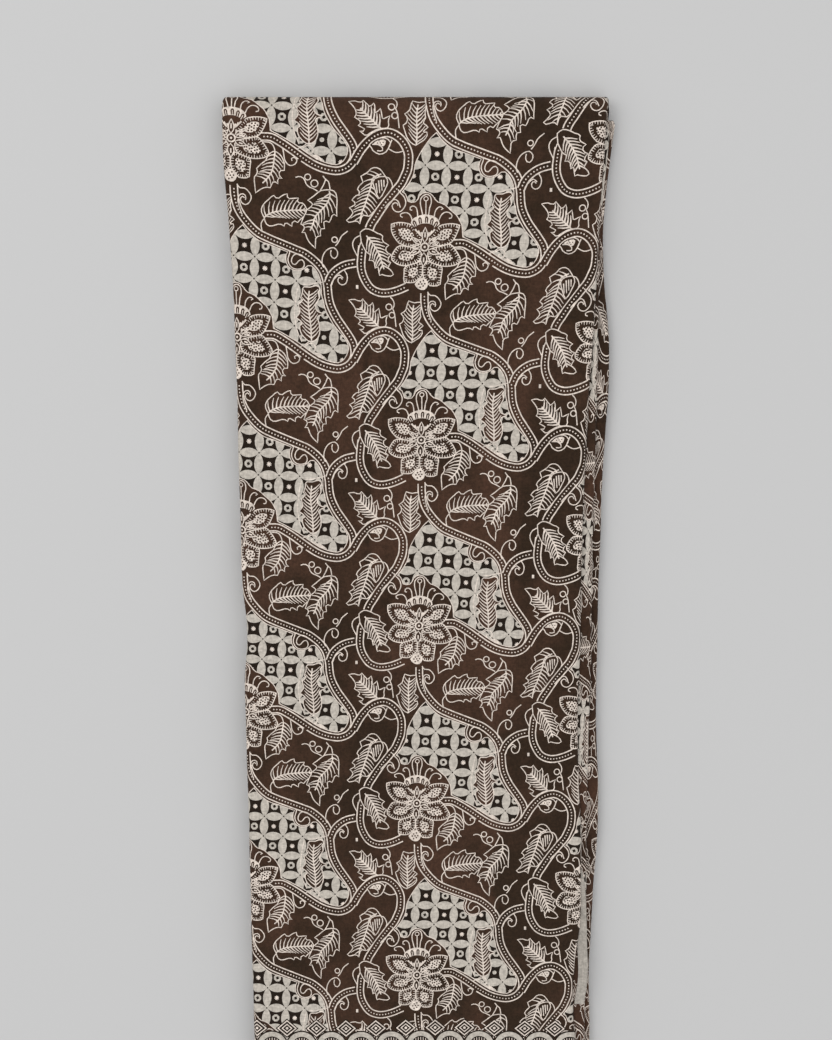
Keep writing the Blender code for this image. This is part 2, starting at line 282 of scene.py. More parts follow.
def draw_stems():
    """The stems that frame the patch, with the curls that grow on them."""
    stem([(0.7, 82), (0.9, 76), (2.7, 69.2), (6.8, 63), (12.5, 57.4), (18.6, 54.4), (25.2, 51.8),
          (33.5, 48.6), (38, 46.8), (42, 44), (45.3, 40.9), (47.8, 37.4), (49.2, 33.5), (50.0, 28.6),
          (50.4, 23), (51.6, 18), (54.5, 12), (58.5, 6.2), (61.8, 1.5), (63.8, -2.4), (64.4, -8), (61.8, -13),
          (56.5, -15.6), (50.8, -15.2), (45.5, -13.6), (41, -11.3), (36, -8), (30.2, -3.9), (25, -0.6),
          (20.5, 1.6), (15.2, 1.6)])
    stem([(-39, 44.3), (-35.7, 50.4), (-32.4, 54.8), (-28.4, 58.4), (-24.8, 60.2), (-20.8, 60.8), (-17, 59.5),
          (-13.5, 56.6), (-11.1, 52.6), (-10.1, 48.6), (-10.5, 42), (-11.9, 38), (-14, 33.4), (-17.5, 29),
          (-21.2, 24.2), (-24.3, 19.6), (-27, 15.1), (-29.1, 11.8), (-30.1, 9.1)], 2.15)
    stem([(50.3, 30.5), (52.2, 35), (55.5, 38.5), (60, 41.1), (65.6, 42.4)])
    stem([(-33.6, 0), (-34.2, -5.5), (-34.5, -10), (-33.9, -14.5), (-32, -19), (-29, -23), (-24.5, -25),
          (-20, -25.1), (-14.5, -23.7), (-9.0, -21.3)])
    for points in (
            [(2.4, -24.2), (3.8, -26.1), (6.5, -26.3), (8.7, -28.2), (9.9, -30.8), (8.9, -33.5), (6.7, -35),
             (4.6, -34), (4, -32), (5, -30.6), (6.3, -31.4)],
            [(4.6, -40.3), (3.3, -36.6), (2.6, -32.8), (3.5, -30.1), (5.4, -29.3), (6.9, -30.4),
             (6.7, -32.5)],
            [(28.0, 48.6), (30.1, 47.4), (28.9, 43.2), (29.7, 40.1), (31.6, 38.2), (34.3, 37.8), (37, 38.6),
             (37.8, 40.5), (37.4, 42.4), (36.2, 43.2), (34.7, 42.4), (33.1, 40.5), (31.6, 40.5), (30.8, 42),
             (31.2, 44), (32.4, 45.7), (34.3, 46.3), (37.0, 45.4)],
            [(65.0, 40.3), (62.1, 39.7), (59.4, 38.4), (60.6, 36.2), (60.9, 33.5), (59.8, 30.8), (57.5, 30.1),
             (55.9, 31.6), (55.9, 33.5), (57.1, 34.3), (58.2, 33.1)],
            [(58.6, 33.9), (57.9, 34.7), (56.3, 35.5), (54, 33.5), (52.4, 31.2), (51.9, 28.2)],
            [(-15.4, 30.4), (-14.1, 28.6), (-12.2, 26.7), (-11.1, 23.7), (-11.9, 20.7), (-14.1, 18.5),
             (-16.7, 18.8), (-18.2, 20.7), (-18.2, 22.2), (-17.1, 23.3), (-15.6, 23), (-15.2, 21.8)],
            [(-13.9, 20.8), (-14.5, 22.3), (-14.9, 23.6), (-16, 24.8), (-17.5, 25), (-19.7, 23.3),
             (-22.2, 20.4)],
            [(27.0, -4.4), (27.6, -8), (28.2, -11), (30.5, -13.4), (33.3, -12.8), (34.5, -10.6), (33.2, -9),
             (31.6, -9.6), (31.9, -10.9)],
            [(37.4, -4.0), (39, -2.7), (41.6, -2.4), (43.1, -4.6), (42, -6.9), (40.1, -6.5), (39.7, -5),
             (40.8, -4.6)]):
        stroke(STEM_LEVEL, smooth(points, 1.3), MIDDLE)
    almond(STEM_LEVEL, (42.7, -7.4), (47.6, -10.0), 1.0, 0.4, core=False, inside=LINE_WAX)


def draw_leaves():
    """The leaves, each with its own teeth."""
    leaf([(22.9, -6.1), (26, -8.3), (27.8, -12.4), (27.8, -16.2, 1), (25.2, -16.6), (25.3, -19.2),
          (26.7, -20.5, 1), (24.4, -20.5), (24.4, -23.5, 1), (22.1, -22.2), (20.2, -25.6, 1), (18, -25.4),
          (15.3, -26.4), (12.3, -28.6, 1), (11.9, -23.7), (11.8, -20.3), (13.5, -18.1), (13.1, -15.6, 1),
          (15.4, -13.2, 1), (18.1, -11), (18.8, -9.1), (20.7, -6.9)],
         [(22.9, -6.5), (21.8, -14.7), (20.6, -18.1), (18.4, -21.1), (16.1, -23.3)], 2.1, 52, 66)
    stroke(LEAF_LEVEL, smooth([(16.6, -1.2), (18.8, -1.2), (20.7, -1.6), (22.2, -3.5), (22.9, -6.1)], 1.6),
           MIDDLE)
    leaf([(16.7, -41.8), (15.3, -38.8), (15.3, -36.6), (16.3, -34.7), (17.6, -33.2), (19.1, -32),
          (20.6, -30.5), (22.1, -29.6, 1), (24, -31.3), (25.9, -30.1), (27.8, -29), (29.3, -28.6, 1),
          (29.8, -31), (32.7, -30.9), (35.3, -30.7, 1), (34.8, -33), (36.1, -33.3), (38, -33.5),
          (39.1, -35.4), (40.2, -37.2), (39.1, -39.6), (36.5, -41.8), (34.8, -43.7, 1), (34.2, -43),
          (32.1, -43.2), (31.6, -45.8, 1), (30.1, -44.9), (28.2, -43.9), (27.4, -45.8, 1), (25.2, -44.7),
          (22.5, -45.4), (20.2, -46), (18.4, -45.6), (17.2, -44.1), (16.9, -42.6)],
         [(16.5, -41.6), (18.7, -39.8), (22.1, -38.4), (26.3, -37.7), (31.2, -37.3), (36.5, -37.1),
          (39.5, -37.0)],
         2.1, 58, 44)
    leaf([(46.3, -27.1), (43.6, -29.4), (40.3, -31.8, 1), (41.4, -32.4), (42.9, -33.9), (41.4, -35.8),
          (39.9, -36.6), (39.1, -38.8), (38, -40.7), (36.5, -44.5, 1), (38.4, -45.6), (38, -47.5),
          (36.9, -49, 1), (38.7, -49), (39.5, -51.6), (41, -54.3), (44, -57.3, 1), (44.2, -53.9),
          (44.6, -51.3), (47, -50.5, 1), (46.9, -47.1), (49.1, -46.6, 1), (48.9, -42.6), (51.6, -43.2, 1),
          (52.7, -41.1), (53.5, -38.8), (55.7, -39.9, 1), (55.5, -36.9), (55.7, -32), (55.3, -28.6),
          (54.2, -26.7), (51.6, -26), (47.8, -26.4)],
         [(51.6, -26.7), (52, -29.4), (50.1, -33.9), (47, -37.3), (44, -40.7), (43.3, -43.7), (41.4, -47.9)],
         2.0, 46, 62)
    leaf([(-34.9, 37.2), (-32.8, 38.3), (-31, 39.8), (-29.5, 41.5), (-27.2, 42), (-25, 41.1), (-23.1, 38.7),
          (-22.2, 37.2), (-20.5, 36.6), (-19.2, 34.9), (-18.4, 31.6), (-20.6, 28.2), (-24.0, 23.6),
          (-27.6, 18.6), (-30.6, 15.6), (-32.5, 16.4), (-34.2, 15.5), (-35.1, 11.7, 1), (-37, 13.2),
          (-40.7, 12.3), (-42.2, 13.4, 1), (-40.3, 15.1), (-38.8, 17.3), (-39.2, 18.5), (-40.7, 20, 1),
          (-37.7, 21.8), (-37.7, 22.8), (-39.4, 24.1, 1), (-37.7, 26.3), (-35.8, 27.1), (-35.7, 28.9),
          (-36.6, 30, 1), (-35.5, 32.3), (-33.8, 33.4), (-34.2, 34.9)],
         [(-24.4, 38.6), (-28.7, 36.2), (-29.7, 31.6), (-30.6, 28.2), (-31.7, 24.8), (-32.8, 21.1),
          (-34.3, 17.3), (-35.1, 12.5)], 2.0, 62, 48)
    lobe = smooth([(-28.7, 34.2), (-26.9, 36.4), (-24.2, 37.2), (-22, 37.2), (-21.2, 35.7), (-21, 33.6),
                   (-22.4, 30), (-24.2, 26.3), (-25.4, 25.4), (-26.8, 28)], 1.9, closed=True)
    paint(LEAF_LEVEL, GROUND, lobe)
    stroke(LEAF_LEVEL, lobe, MIDDLE, closed=True)
    for top, low in (((-27, 33.4), (-26.3, 28.1)), ((-25.7, 35.0), (-25.0, 28.2)), ((-24.4, 35.4),
                                                                                    (-23.8, 29.6)),
                     ((-23, 35.4), (-22.8, 31.6))):
        stroke(LEAF_LEVEL, [top, low], 0.7, taper=0.6)
    leaf([(-41.4, 77.2, 1), (-38.3, 77.7), (-35.3, 76.7), (-33.7, 78.1, 1), (-32.1, 76.1), (-30.2, 74.2),
          (-28.3, 76.3, 1), (-27.7, 74.2), (-27.5, 70.9), (-24.8, 73.2, 1), (-24.3, 70.8), (-23.7, 67.5),
          (-22.9, 68.1), (-19.9, 69.5, 1), (-20.8, 67.0), (-20.9, 63.4), (-26, 62.6), (-30.6, 60.2),
          (-32.4, 58.9), (-33.8, 60), (-35.7, 61.3, 1), (-33.5, 61.4), (-33.1, 62.5), (-36.4, 64.3, 1),
          (-35.2, 65.5), (-35.3, 66.6), (-38.3, 68.6, 1), (-37.6, 69.6), (-37.6, 71.8), (-39, 74.4)],
         [(-24.6, 62.9), (-27.5, 65.6), (-31.2, 69.2), (-35.4, 73.4)], 2.1, 44, 50, 1.05)
    leaf([(-35, 7), (-33.1, 8.7), (-31.3, 9.2), (-28.3, 8.3), (-26, 7), (-23.8, 6.3), (-22.8, 5.2),
          (-23, 2.9), (-19.5, 0.7, 1), (-21.3, -1), (-20.4, -3.1), (-18.2, -4.2, 1), (-20, -6.8),
          (-18.3, -8.5, 1), (-19.7, -11.3), (-17.8, -12.8), (-16.7, -14.9, 1), (-17.8, -15.8), (-20.8, -15.6),
          (-23.8, -14.9), (-24.3, -15.6, 1), (-24.9, -12.8), (-24.9, -10.9), (-26.8, -11.7, 1), (-27.5, -7.9),
          (-30.1, -7.6, 1), (-29.4, -4.6), (-31.6, -3.1), (-33.5, 0.3), (-34.4, 2.2), (-34.6, 4.8)],
         [(-31.6, 5.5), (-29, 2.5), (-26.8, -0.5), (-25.3, -3.1), (-23.8, -6.1), (-23, -9.1), (-21.9, -12.1)],
         1.9, 42, 48, 0.95)
    leaf([(-8, -29.3, 1), (-4.8, -30.3), (-1.4, -29.9), (-1, -32.7), (-1.6, -35.7), (-1.2, -38.3, 1),
          (-2.5, -41), (-1, -42.1), (0.1, -43.2, 1), (-2.9, -45.9), (-0.7, -45.5), (-0.3, -47.4),
          (-1.8, -49.6), (-4, -51.1), (-6.3, -52.6, 1), (-8.6, -51.5), (-10.8, -48.9), (-12.1, -45.5),
          (-13.1, -42.3, 1), (-11, -40.6), (-11, -38), (-12.3, -36.5, 1), (-9.7, -34.6), (-8.9, -31.6)],
         [(-6.1, -52.4), (-5.7, -47.7), (-5.9, -42.1), (-5.9, -36.5), (-5.2, -31.6)], 2.1, 46, 46)
    leaf([(36.7, 28), (36.3, 25), (35.2, 22, 1), (36.3, 20.5), (33.9, 18.2), (34.8, 14.5), (32.6, 11.3, 1),
          (36, 8.5), (34.5, 7), (34.8, 4), (36.3, 1.4), (39.7, -1.3), (43.1, -0.5), (45.1, 2.5), (45.3, 6.2),
          (44.6, 10), (43.8, 11.9), (47.6, 13.7, 1), (44, 15.2), (43.1, 18.2), (45.5, 22.7), (44.6, 25.3),
          (46.1, 27.6), (43.8, 29.1), (40.5, 28.1)],
         [(40.8, -0.9), (40.5, 6.2), (39.7, 13.7), (39.3, 19.3), (40, 26)], 2.1, 46, 46)
    for points in ([(36.5, 29.6), (40.5, 29.6), (43.8, 30.5), (47.6, 31.2)],
                   [(34.2, 28.6), (33.0, 24.0), (32.4, 19.3), (31.6, 14), (32, 10), (32.6, 6), (33.7, 2.5),
                    (35.6, -1.6)],
                   [(39.7, -1.3), (37.4, -3.0), (34.8, -4.2)]):
        stroke(LEAF_LEVEL, smooth(points, 2.0), FINE)


def draw_sprigs():
    """The round bud under the arch, the bracts and stalks, and the tendrils with their rings."""
    bud = smooth([(-30.7, 54.1), (-29.5, 52.6), (-28.4, 50.7), (-25.2, 49.2), (-22.2, 50.4), (-20.8, 52.4),
                  (-19.6, 55.6), (-22.5, 58.0), (-27.0, 57.2)], 1.9, closed=True)
    paint(LEAF_LEVEL, GROUND, bud)
    stroke(LEAF_LEVEL, bud, MIDDLE, closed=True)
    stippled(LEAF_LEVEL, smooth([(-28.6, 54.8), (-25.9, 54.6), (-23.9, 53.2), (-22.4, 54.6), (-22.4, 57.0),
                                 (-26.2, 56.6)], 1.5, closed=True), 1.5, 0.42, margin=0.3)
    for points in ([(-29.1, 54.4), (-25.9, 54.3), (-23.7, 52.5), (-24.1, 51), (-26.6, 51.1)],
                   [(-20.8, 52.4), (-17.9, 50.7), (-15.7, 50.4), (-12.6, 51.3)], [(-20.8, 52.4),
                                                                                  (-18.9, 57.1)],
                   [(-35, 5.5), (-37.6, 4), (-38.9, 1.4), (-38.4, -1.6), (-36.3, -5.7)],
                   [(-34.6, 1.8), (-35.8, -2), (-36.3, -5.7)],
                   [(-18.3, -27.4), (-16.6, -29.3), (-16.1, -31.9), (-17, -34), (-16.1, -35.7),
                    (-15.7, -38.3), (-15.3, -42.1), (-15.1, -43.8)],
                   [(16.7, -42), (15, -44.1), (14.8, -46.4), (15.3, -49.4)],
                   [(33.8, -19.8), (35.7, -19.2), (37.6, -19.8), (38.7, -21.1), (39.5, -23.3), (41.4, -24.9),
                    (43.3, -25.6), (45.5, -26.9)],
                   [(48.2, -18.6), (49.7, -20.5), (51.2, -21.8), (52, -25.6)],
                   [(49.7, -20.5), (48.5, -23.7), (47, -26.4)],
                   [(48.2, 39.3), (47.4, 41.6), (47.8, 45.1), (49.4, 48.2), (51.7, 49.9), (54, 50.3),
                    (55.7, 48.6), (55.9, 46.7), (54.8, 44.7), (53.2, 44.7), (52.1, 46.7), (52.5, 49)],
                   [(54.8, 51.3), (56.3, 53.2), (57.5, 55.5), (58.4, 57), (61.4, 59.4)]):
        stroke(LEAF_LEVEL, smooth(points, 1.5), MIDDLE)
    for centre, radius in (((-19.1, -32.9), 1.7), ((-17.4, -37.4), 1.6), ((40.2, -19.4), 1.6),
                           ((43.8, -22.8), 1.9), ((54.4, 54.6), 1.5)):
        ring(LEAF_LEVEL, centre, radius, MIDDLE)
    stroke(LEAF_LEVEL, [(-36.7, -21.4), (-36.7, -23.4)], 1.3)


def petal(points, number):
    """A broad petal: a line, short ticks inside it, and a speckled light heart."""
    outline = toothed(points, 1.9)
    paint(FLOWER_LEVEL, GROUND, outline)
    middle = outline.mean(axis=0)
    stippled(FLOWER_LEVEL, middle + (outline - middle) * 0.52, 1.62, 0.63, 25 * number, -0.3)
    edge = even_steps(np.vstack([outline, outline[:1]]), 1.5)[:-1]
    inward = edge - beside(edge, 1.0, closed=True)
    if depth_inside(outline, (edge + inward)[:1])[0] < 0:
        inward = -inward
    for k, (place, way) in enumerate(zip(edge, inward)):
        stroke(FLOWER_LEVEL, [place, place + way * (1.7 + 0.4 * math.sin(2.3 * k + number))], 0.5, taper=0.5)
    stroke(FLOWER_LEVEL, outline, MIDDLE, closed=True)


def draw_flower():
    """The flower: six broad petals, a rosette, a bud below and a crown above."""
    petals = ([(-18.5, 11.9, 1), (-15.7, 12.7), (-12.3, 12.8), (-8.5, 12.1), (-6.3, 10.7), (-4.4, 8.9),
               (-2.9, 7.0), (-2.0, 5.1), (-1.8, 3.0), (-3.6, 1.0), (-8.2, -0.1), (-11.5, 1.0), (-13.8, 1.8),
               (-15.3, 3.3), (-17, 5.5), (-18.1, 7.8), (-18.5, 10.4)],
              [(18.4, 11.5, 1), (15.1, 12.3), (11.3, 12.2), (8.3, 11.5), (6.1, 10), (4.6, 8.1), (3.4, 6.6),
               (2.2, 3.6), (4.4, 1.3), (9, 0.7), (13.6, 1.8), (15.1, 3.3), (16.2, 5.1), (17.3, 7.8),
               (18.4, 10.7)],
              [(-13.4, 0.6), (-15.3, -0.5), (-17.2, -3.5), (-17.9, -5.4), (-17.5, -7.2), (-14.9, -9.1),
               (-11.5, -10), (-8.2, -9.7), (-4, -8.4), (-2.5, -6.9), (-1.6, -3.2), (-4.6, -0.6), (-9, 0.1)],
              [(13.6, 1.4), (16.2, -1.2), (18.1, -3.9), (19.6, -6.9), (19.2, -8.4), (16.9, -9.8),
               (13.2, -10.4), (9.4, -10.2), (6.1, -9.1), (3.1, -7.6), (1.8, -3.2), (4.6, -0.6), (9, 0.3)],
              [(-9.7, -10.2), (-10.8, -11.7), (-10.8, -14.7), (-11, -18.5), (-10, -19), (-6.7, -19.2),
               (-4.8, -18.8), (-2.9, -17), (-1, -15.5), (-0.8, -10.2), (-1.5, -7.2), (-4, -8.4)],
              [(9.8, -10.6), (9.8, -13.2), (9.4, -17), (9.1, -20.3), (6.8, -20.9), (3.4, -20.7), (1.9, -18.8),
               (0, -16.6), (-0.6, -10.2), (1, -7.2), (4, -8.4)])
    for number, points in enumerate(petals):
        petal(points, number)
    bud = smooth([(-4.8, -20), (-3.7, -21.8), (-1.8, -23), (0.4, -23.1), (1.9, -21.8), (2.7, -19.2),
                  (1.6, -17.7), (-0.3, -16.2), (-2.2, -17), (-4.4, -19.2)], 1.7, closed=True)
    stippled(FLOWER_LEVEL, bud, 1.65, 0.6)
    dome = smooth([(-8, 12.6), (-7.4, 14.5), (-4.8, 16.2), (-2.2, 17.1), (0, 17.3), (3.8, 16.6), (6.1, 15.2),
                   (7.2, 13.7), (7.6, 12.2), (6.0, 9.0), (3.4, 5.4), (-0.1, 3.8), (-3.4, 5.6), (-6.4, 9.4)],
                  1.8, closed=True)
    paint(FLOWER_LEVEL, GROUND, dome)
    paint(FLOWER_LEVEL, LINE_WAX, np.vstack([smooth([(-8, 12.6), (-7.4, 14.5), (-4.8, 16.2), (-2.2, 17.1),
                                                     (0, 17.3), (3.8, 16.6), (6.1, 15.2), (7.2, 13.7),
                                                     (7.6, 12.2)], 1.6),
                                             smooth([(5.6, 10.6), (2.6, 12.2), (-0.4, 12.6), (-3.4, 12.0),
                                                     (-6.0, 10.4)], 1.6)]))
    for x, y, lean_over in ((-6.0, 12.6, 26), (-3.1, 14.3, 12), (0.4, 14.8, 0), (3.3, 13.9, -12),
                            (5.6, 12.2, -26)):
        tip = turned((0.0, 1.0), lean_over)
        loop = [np.array([x, y]) + tip * a + across(tip) * b
                for a, b in ((-2.0, 0.8), (-2.0, -0.8), (0.6, -0.95), (1.5, -0.4), (1.5, 0.4), (0.6, 0.95))]
        paint(FLOWER_LEVEL, GROUND, loop)
        stroke(FLOWER_LEVEL, [loop[0] * 0.5 + loop[1] * 0.5, np.array([x, y]) + tip * 0.6], 0.4)
    for x, y in ((-5.6, 9.4), (-3.9, 8.6), (-2.2, 7.8), (2.2, 7.8), (3.7, 8.6), (5.1, 9.4)):
        stroke(FLOWER_LEVEL, [(x, y), (0.45 * x, 0.62 * y)], 1.0, taper=0.3)
    for points in ([(-7.4, 14.2), (-8.2, 16.4), (-9.7, 17.9), (-11.5, 18.1), (-13.4, 17.5), (-14, 16.4),
                    (-12.5, 15.6)],
                   [(-4.4, 16), (-4.8, 19), (-5.5, 20.9), (-7, 21.8), (-8.5, 21.2), (-8.7, 19.7),
                    (-7.6, 19.4)],
                   [(4.4, 16), (4.9, 19), (6.1, 20.9), (7.6, 21.6), (9.1, 20.5), (8, 20)],
                   [(7.0, 14.2), (8.3, 17.1), (10.2, 18.6), (12.4, 18.4), (13.9, 17.1), (13.9, 15.6),
                    (12.4, 15.2)],
                   [(-1.8, 17.0), (-3.0, 21.6), (-3.3, 23.6), (-2.9, 26.3), (-0.3, 28.2), (2, 27.1),
                    (2.6, 23.6), (1.8, 21.0), (1.4, 17.0)], [(-0.1, 17.3), (-0.3, 24.6)]):
        stroke(FLOWER_LEVEL, smooth(points, 1.3), MIDDLE)
    ring(FLOWER_LEVEL, (-0.3, 25.8), 1.2, FINE, 8)
    for base, tip, half in (((-0.1, 2.3), (-0.1, 10.4), 1.5), ((-0.3, -3.1), (-0.3, -10.2), 1.8),
                            ((-2.4, -1.2), (-8.2, -4.2), 1.25), ((2.1, -1.6), (7.6, -3.5), 1.5),
                            ((2.3, 0.6), (7.6, 2.5), 1.0), ((2.0, 2.0), (7.6, 5.6), 0.9),
                            ((-2.2, 1.4), (-7.4, 5.1), 1.0), ((-2.6, 0.1), (-8.6, 0.3), 0.9)):
        almond(FLOWER_LEVEL, base, tip, half, 0.6)
    for base, tip in (((8.8, 1.8), (13.5, 3)), ((9.4, -2.4), (13.0, -3.6)), ((-9.7, -2.6), (-13.0, -3.8))):
        stroke(FLOWER_LEVEL, [base, tip], 0.9, ink=GROUND, taper=0.5)
    dot(FLOWER_LEVEL, (0, 0), 2.5, 11)
    dot(FLOWER_LEVEL, (0, 0), 1.7, 9, GROUND)
    dot(FLOWER_LEVEL, (0, 0), 0.7, 5)


draw_kawung()
draw_stems()
draw_leaves()
draw_sprigs()
draw_flower()


def copies_over(low_x, high_x, low_y, high_y):
    """Every shape of the repeats that cross a box, in the order that they are laid."""
    found = []
    for number, (level, ink, points, mask) in enumerate(drawing):
        (x0, y0), (x1, y1) = points.min(axis=0), points.max(axis=0)
        for i in range(math.floor((low_x - x1) / REPEAT_WIDTH), math.ceil((high_x - x0) / REPEAT_WIDTH) + 1):
            lift = 0.5 * (i % 2)
            for j in range(math.floor((low_y - y1) / REPEAT_HEIGHT - lift),
                           math.ceil((high_y - y0) / REPEAT_HEIGHT - lift) + 1):
                step = np.array([REPEAT_WIDTH * i, REPEAT_HEIGHT * (j + lift)])
                if (x1 + step[0] > low_x and x0 + step[0] < high_x
                        and y1 + step[1] > low_y and y0 + step[1] < high_y):
                    found.append(((level, number, i, j), ink, points + step, mask))
    found.sort(key=lambda item: item[0])
    places = {key[1:]: order for order, (key, _, _, _) in enumerate(found)}
    return [(ink, points, None if mask is None else places.get((mask, key[2], key[3]), -1))
            for key, ink, points, mask in found]


class Sheet:
    """Points and straight lines on flat cloth, gathered for the triangulation."""

    def __init__(self):
        self.points, self.lines, self.known = [], [], {}

    def point(self, x, y):
        key = (round(x * 2000), round(y * 2000))
        if key not in self.known:
            self.known[key] = len(self.points)
            self.points.append(Vector((x, y)))
        return self.known[key]

    def line(self, points):
        numbers = [self.point(x, y) for x, y in points]
        self.lines += [(a, b) for a, b in zip(numbers, numbers[1:]) if a != b]

    def loop(self, points):
        """The point numbers of a shape, or nothing if it is too small to show."""
        numbers = []
        for x, y in points:
            number = self.point(x, y)
            if not numbers or numbers[-1] != number:
                numbers.append(number)
        if numbers[0] == numbers[-1]:
            numbers.pop()
        return numbers if len(numbers) > 2 and len(set(numbers)) == len(numbers) else None


def triangles(sheet, loops, box, grid):
    """Triangulate the sheet's box, with a loose grid of points that lets the cloth bend."""
    x0, x1, y0, y1 = box
    columns, rows = grid
    sheet.line([(x0, y0 + (y1 - y0) * k / rows) for k in range(rows + 1)])
    sheet.line([(x1, y0 + (y1 - y0) * k / rows) for k in range(rows + 1)])
    sheet.line([(x0 + (x1 - x0) * k / columns, y0) for k in range(columns + 1)])
    sheet.line([(x0 + (x1 - x0) * k / columns, y1) for k in range(columns + 1)])
    for row in range(1, rows):
        for column in range(columns):
            x = x0 + (x1 - x0) * (column + 0.5 * (row % 2)) / columns + 0.013
            if x0 + 1 < x < x1 - 1:
                sheet.point(x, y0 + (y1 - y0) * row / rows + 0.017)
    found = delaunay_2d_cdt(sheet.points, sheet.lines, loops, 0, 1e-4, True)
    points = np.array([tuple(point) for point in found[0]])
    faces = np.array(found[2])
    middle = points[faces].mean(axis=1)
    inside = ((middle[:, 0] > x0) & (middle[:, 0] < x1) & (middle[:, 1] > y0) & (middle[:, 1] < y1))
    return points, faces[inside], [owners for owners, keep in zip(found[5], inside) if keep]


def polygon_area(points):
    """The area inside a closed outline, below zero if it runs clockwise."""
    x, y = points[:, 0], points[:, 1]
    return (np.dot(x, np.roll(y, -1)) - np.dot(y, np.roll(x, -1))) / 2


def areas(points, faces):
    """The area of each triangle, below zero if it faces down."""
    one, two = points[faces[:, 1]] - points[faces[:, 0]], points[faces[:, 2]] - points[faces[:, 0]]
    return (one[:, 0] * two[:, 1] - one[:, 1] * two[:, 0]) / 2


def ink_of(owners, shapes):
    """The ink of the topmost shape over a triangle."""
    under = set(owners)
    for number in sorted(owners, reverse=True):
        ink, _, mask = shapes[number]
        if ink is not None and (mask is None or mask in under):
            return ink
    return GROUND


def ink_edges(points, faces, ink):
    """The lines between unlike inks, as chains of points."""
    edges = np.sort(np.vstack([faces[:, [0, 1]], faces[:, [1, 2]], faces[:, [2, 0]]]), axis=1)
    owner = np.tile(np.arange(len(faces)), 3)
    order = np.lexsort((edges[:, 1], edges[:, 0]))
    edges, owner = edges[order], owner[order]
    shared = (edges[1:] == edges[:-1]).all(axis=1) & (ink[owner[1:]] != ink[owner[:-1]])
    near = {}
    for a, b in edges[1:][shared].tolist():
        near.setdefault(a, []).append(b)
        near.setdefault(b, []).append(a)
    chains, used = [], set()
    for start in [a for a in near if len(near[a]) != 2] + list(near):
        for step in near[start]:
            if (min(start, step), max(start, step)) in used:
                continue
            chain, here, there = [start], start, step
            while True:
                used.add((min(here, there), max(here, there)))
                chain.append(there)
                if len(near[there]) != 2 or there == start:
                    break
                here, there = there, near[there][0] if near[there][0] != here else near[there][1]
            chains.append(points[chain])
    return chains


def fewer_points(line, tolerance):
    """The line with only the points that its shape needs."""
    keep, spans = {0, len(line) - 1}, [(0, len(line) - 1)]
    while spans:
        a, b = spans.pop()
        if b - a < 2:
            continue
        way, offset = line[b] - line[a], line[a + 1:b] - line[a]
        length = math.hypot(*way)
        if length > 1e-6:
            away = np.abs(way[0] * offset[:, 1] - way[1] * offset[:, 0]) / length
        else:
            away = np.hypot(offset[:, 0], offset[:, 1])
        k = int(np.argmax(away))
        if away[k] > tolerance:
            keep.add(a + 1 + k)
            spans += [(a, a + 1 + k), (a + 1 + k, b)]
    return line[sorted(keep)]


def inlay(shapes, box, grid, tolerance=0.04, smallest=0.0):
    """Flat cloth over a box as points, triangles and the ink of each triangle. Shapes smaller than
    the smallest area are left out."""
    rough = Sheet()
    loops, kept = [], []
    numbers = {}
    for number, (ink, points, mask) in enumerate(shapes):
        loop = rough.loop(points)
        if loop and polygon_area(points) > smallest:
            numbers[number] = len(kept)
            loops.append(loop)
            kept.append((ink, points, mask))
    kept = [(ink, points, None if mask is None else numbers.get(mask, -1)) for ink, points, mask in kept]
    points, faces, owners = triangles(rough, loops, box, grid)
    covered = np.zeros(len(kept))
    for own, size in zip(owners, np.abs(areas(points, faces))):
        covered[own] += size
    for number, (ink, outline, mask) in enumerate(kept):
        if covered[number] > 1.3 * polygon_area(outline) + 0.3:
            kept[number] = (None, outline, mask)
    ink = np.array([ink_of(own, kept) for own in owners])
    lookup = BVHTree.FromPolygons([(x, y, 0.0) for x, y in points], faces.tolist())
    clean = Sheet()
    for chain in ink_edges(points, faces, ink):
        clean.line(fewer_points(chain, tolerance))
    points, faces, _ = triangles(clean, [], box, grid)
    middle = points[faces].mean(axis=1)
    first_ink = np.array([ink[lookup.ray_cast(Vector((x, y, 1.0)), Vector((0, 0, -1)))[2] or 0]
                          for x, y in middle])
    backward = areas(points, faces) < 0
    faces[backward] = faces[backward][:, ::-1]
    return points, faces, first_ink


FIELD_BOX = (0.0, REPEAT_WIDTH, 0.0, REPEAT_HEIGHT)
FIELD_GRID = (22, 24)
field = inlay(copies_over(*FIELD_BOX), FIELD_BOX, FIELD_GRID)
# the layers inside the bundle show only their edges, so their print is cut more simply
inner_field = inlay(copies_over(*FIELD_BOX), FIELD_BOX, (14, 16), tolerance=0.16, smallest=0.85)

# The border.
# A row of small diamonds over a cream scalloped band with hatched hearts, along both hems of the
# tube, printed with the rest. Below the scallops run two lines and a row of dots.
BORDER_PITCH = 17.9
BORDER_LEVEL = 4
BORDER_START, BORDER_END = -245.0, -299.0
SCALLOP_CENTRE, SCALLOP_OUTER, SCALLOP_INNER = -271.2, 8.7, 5.7


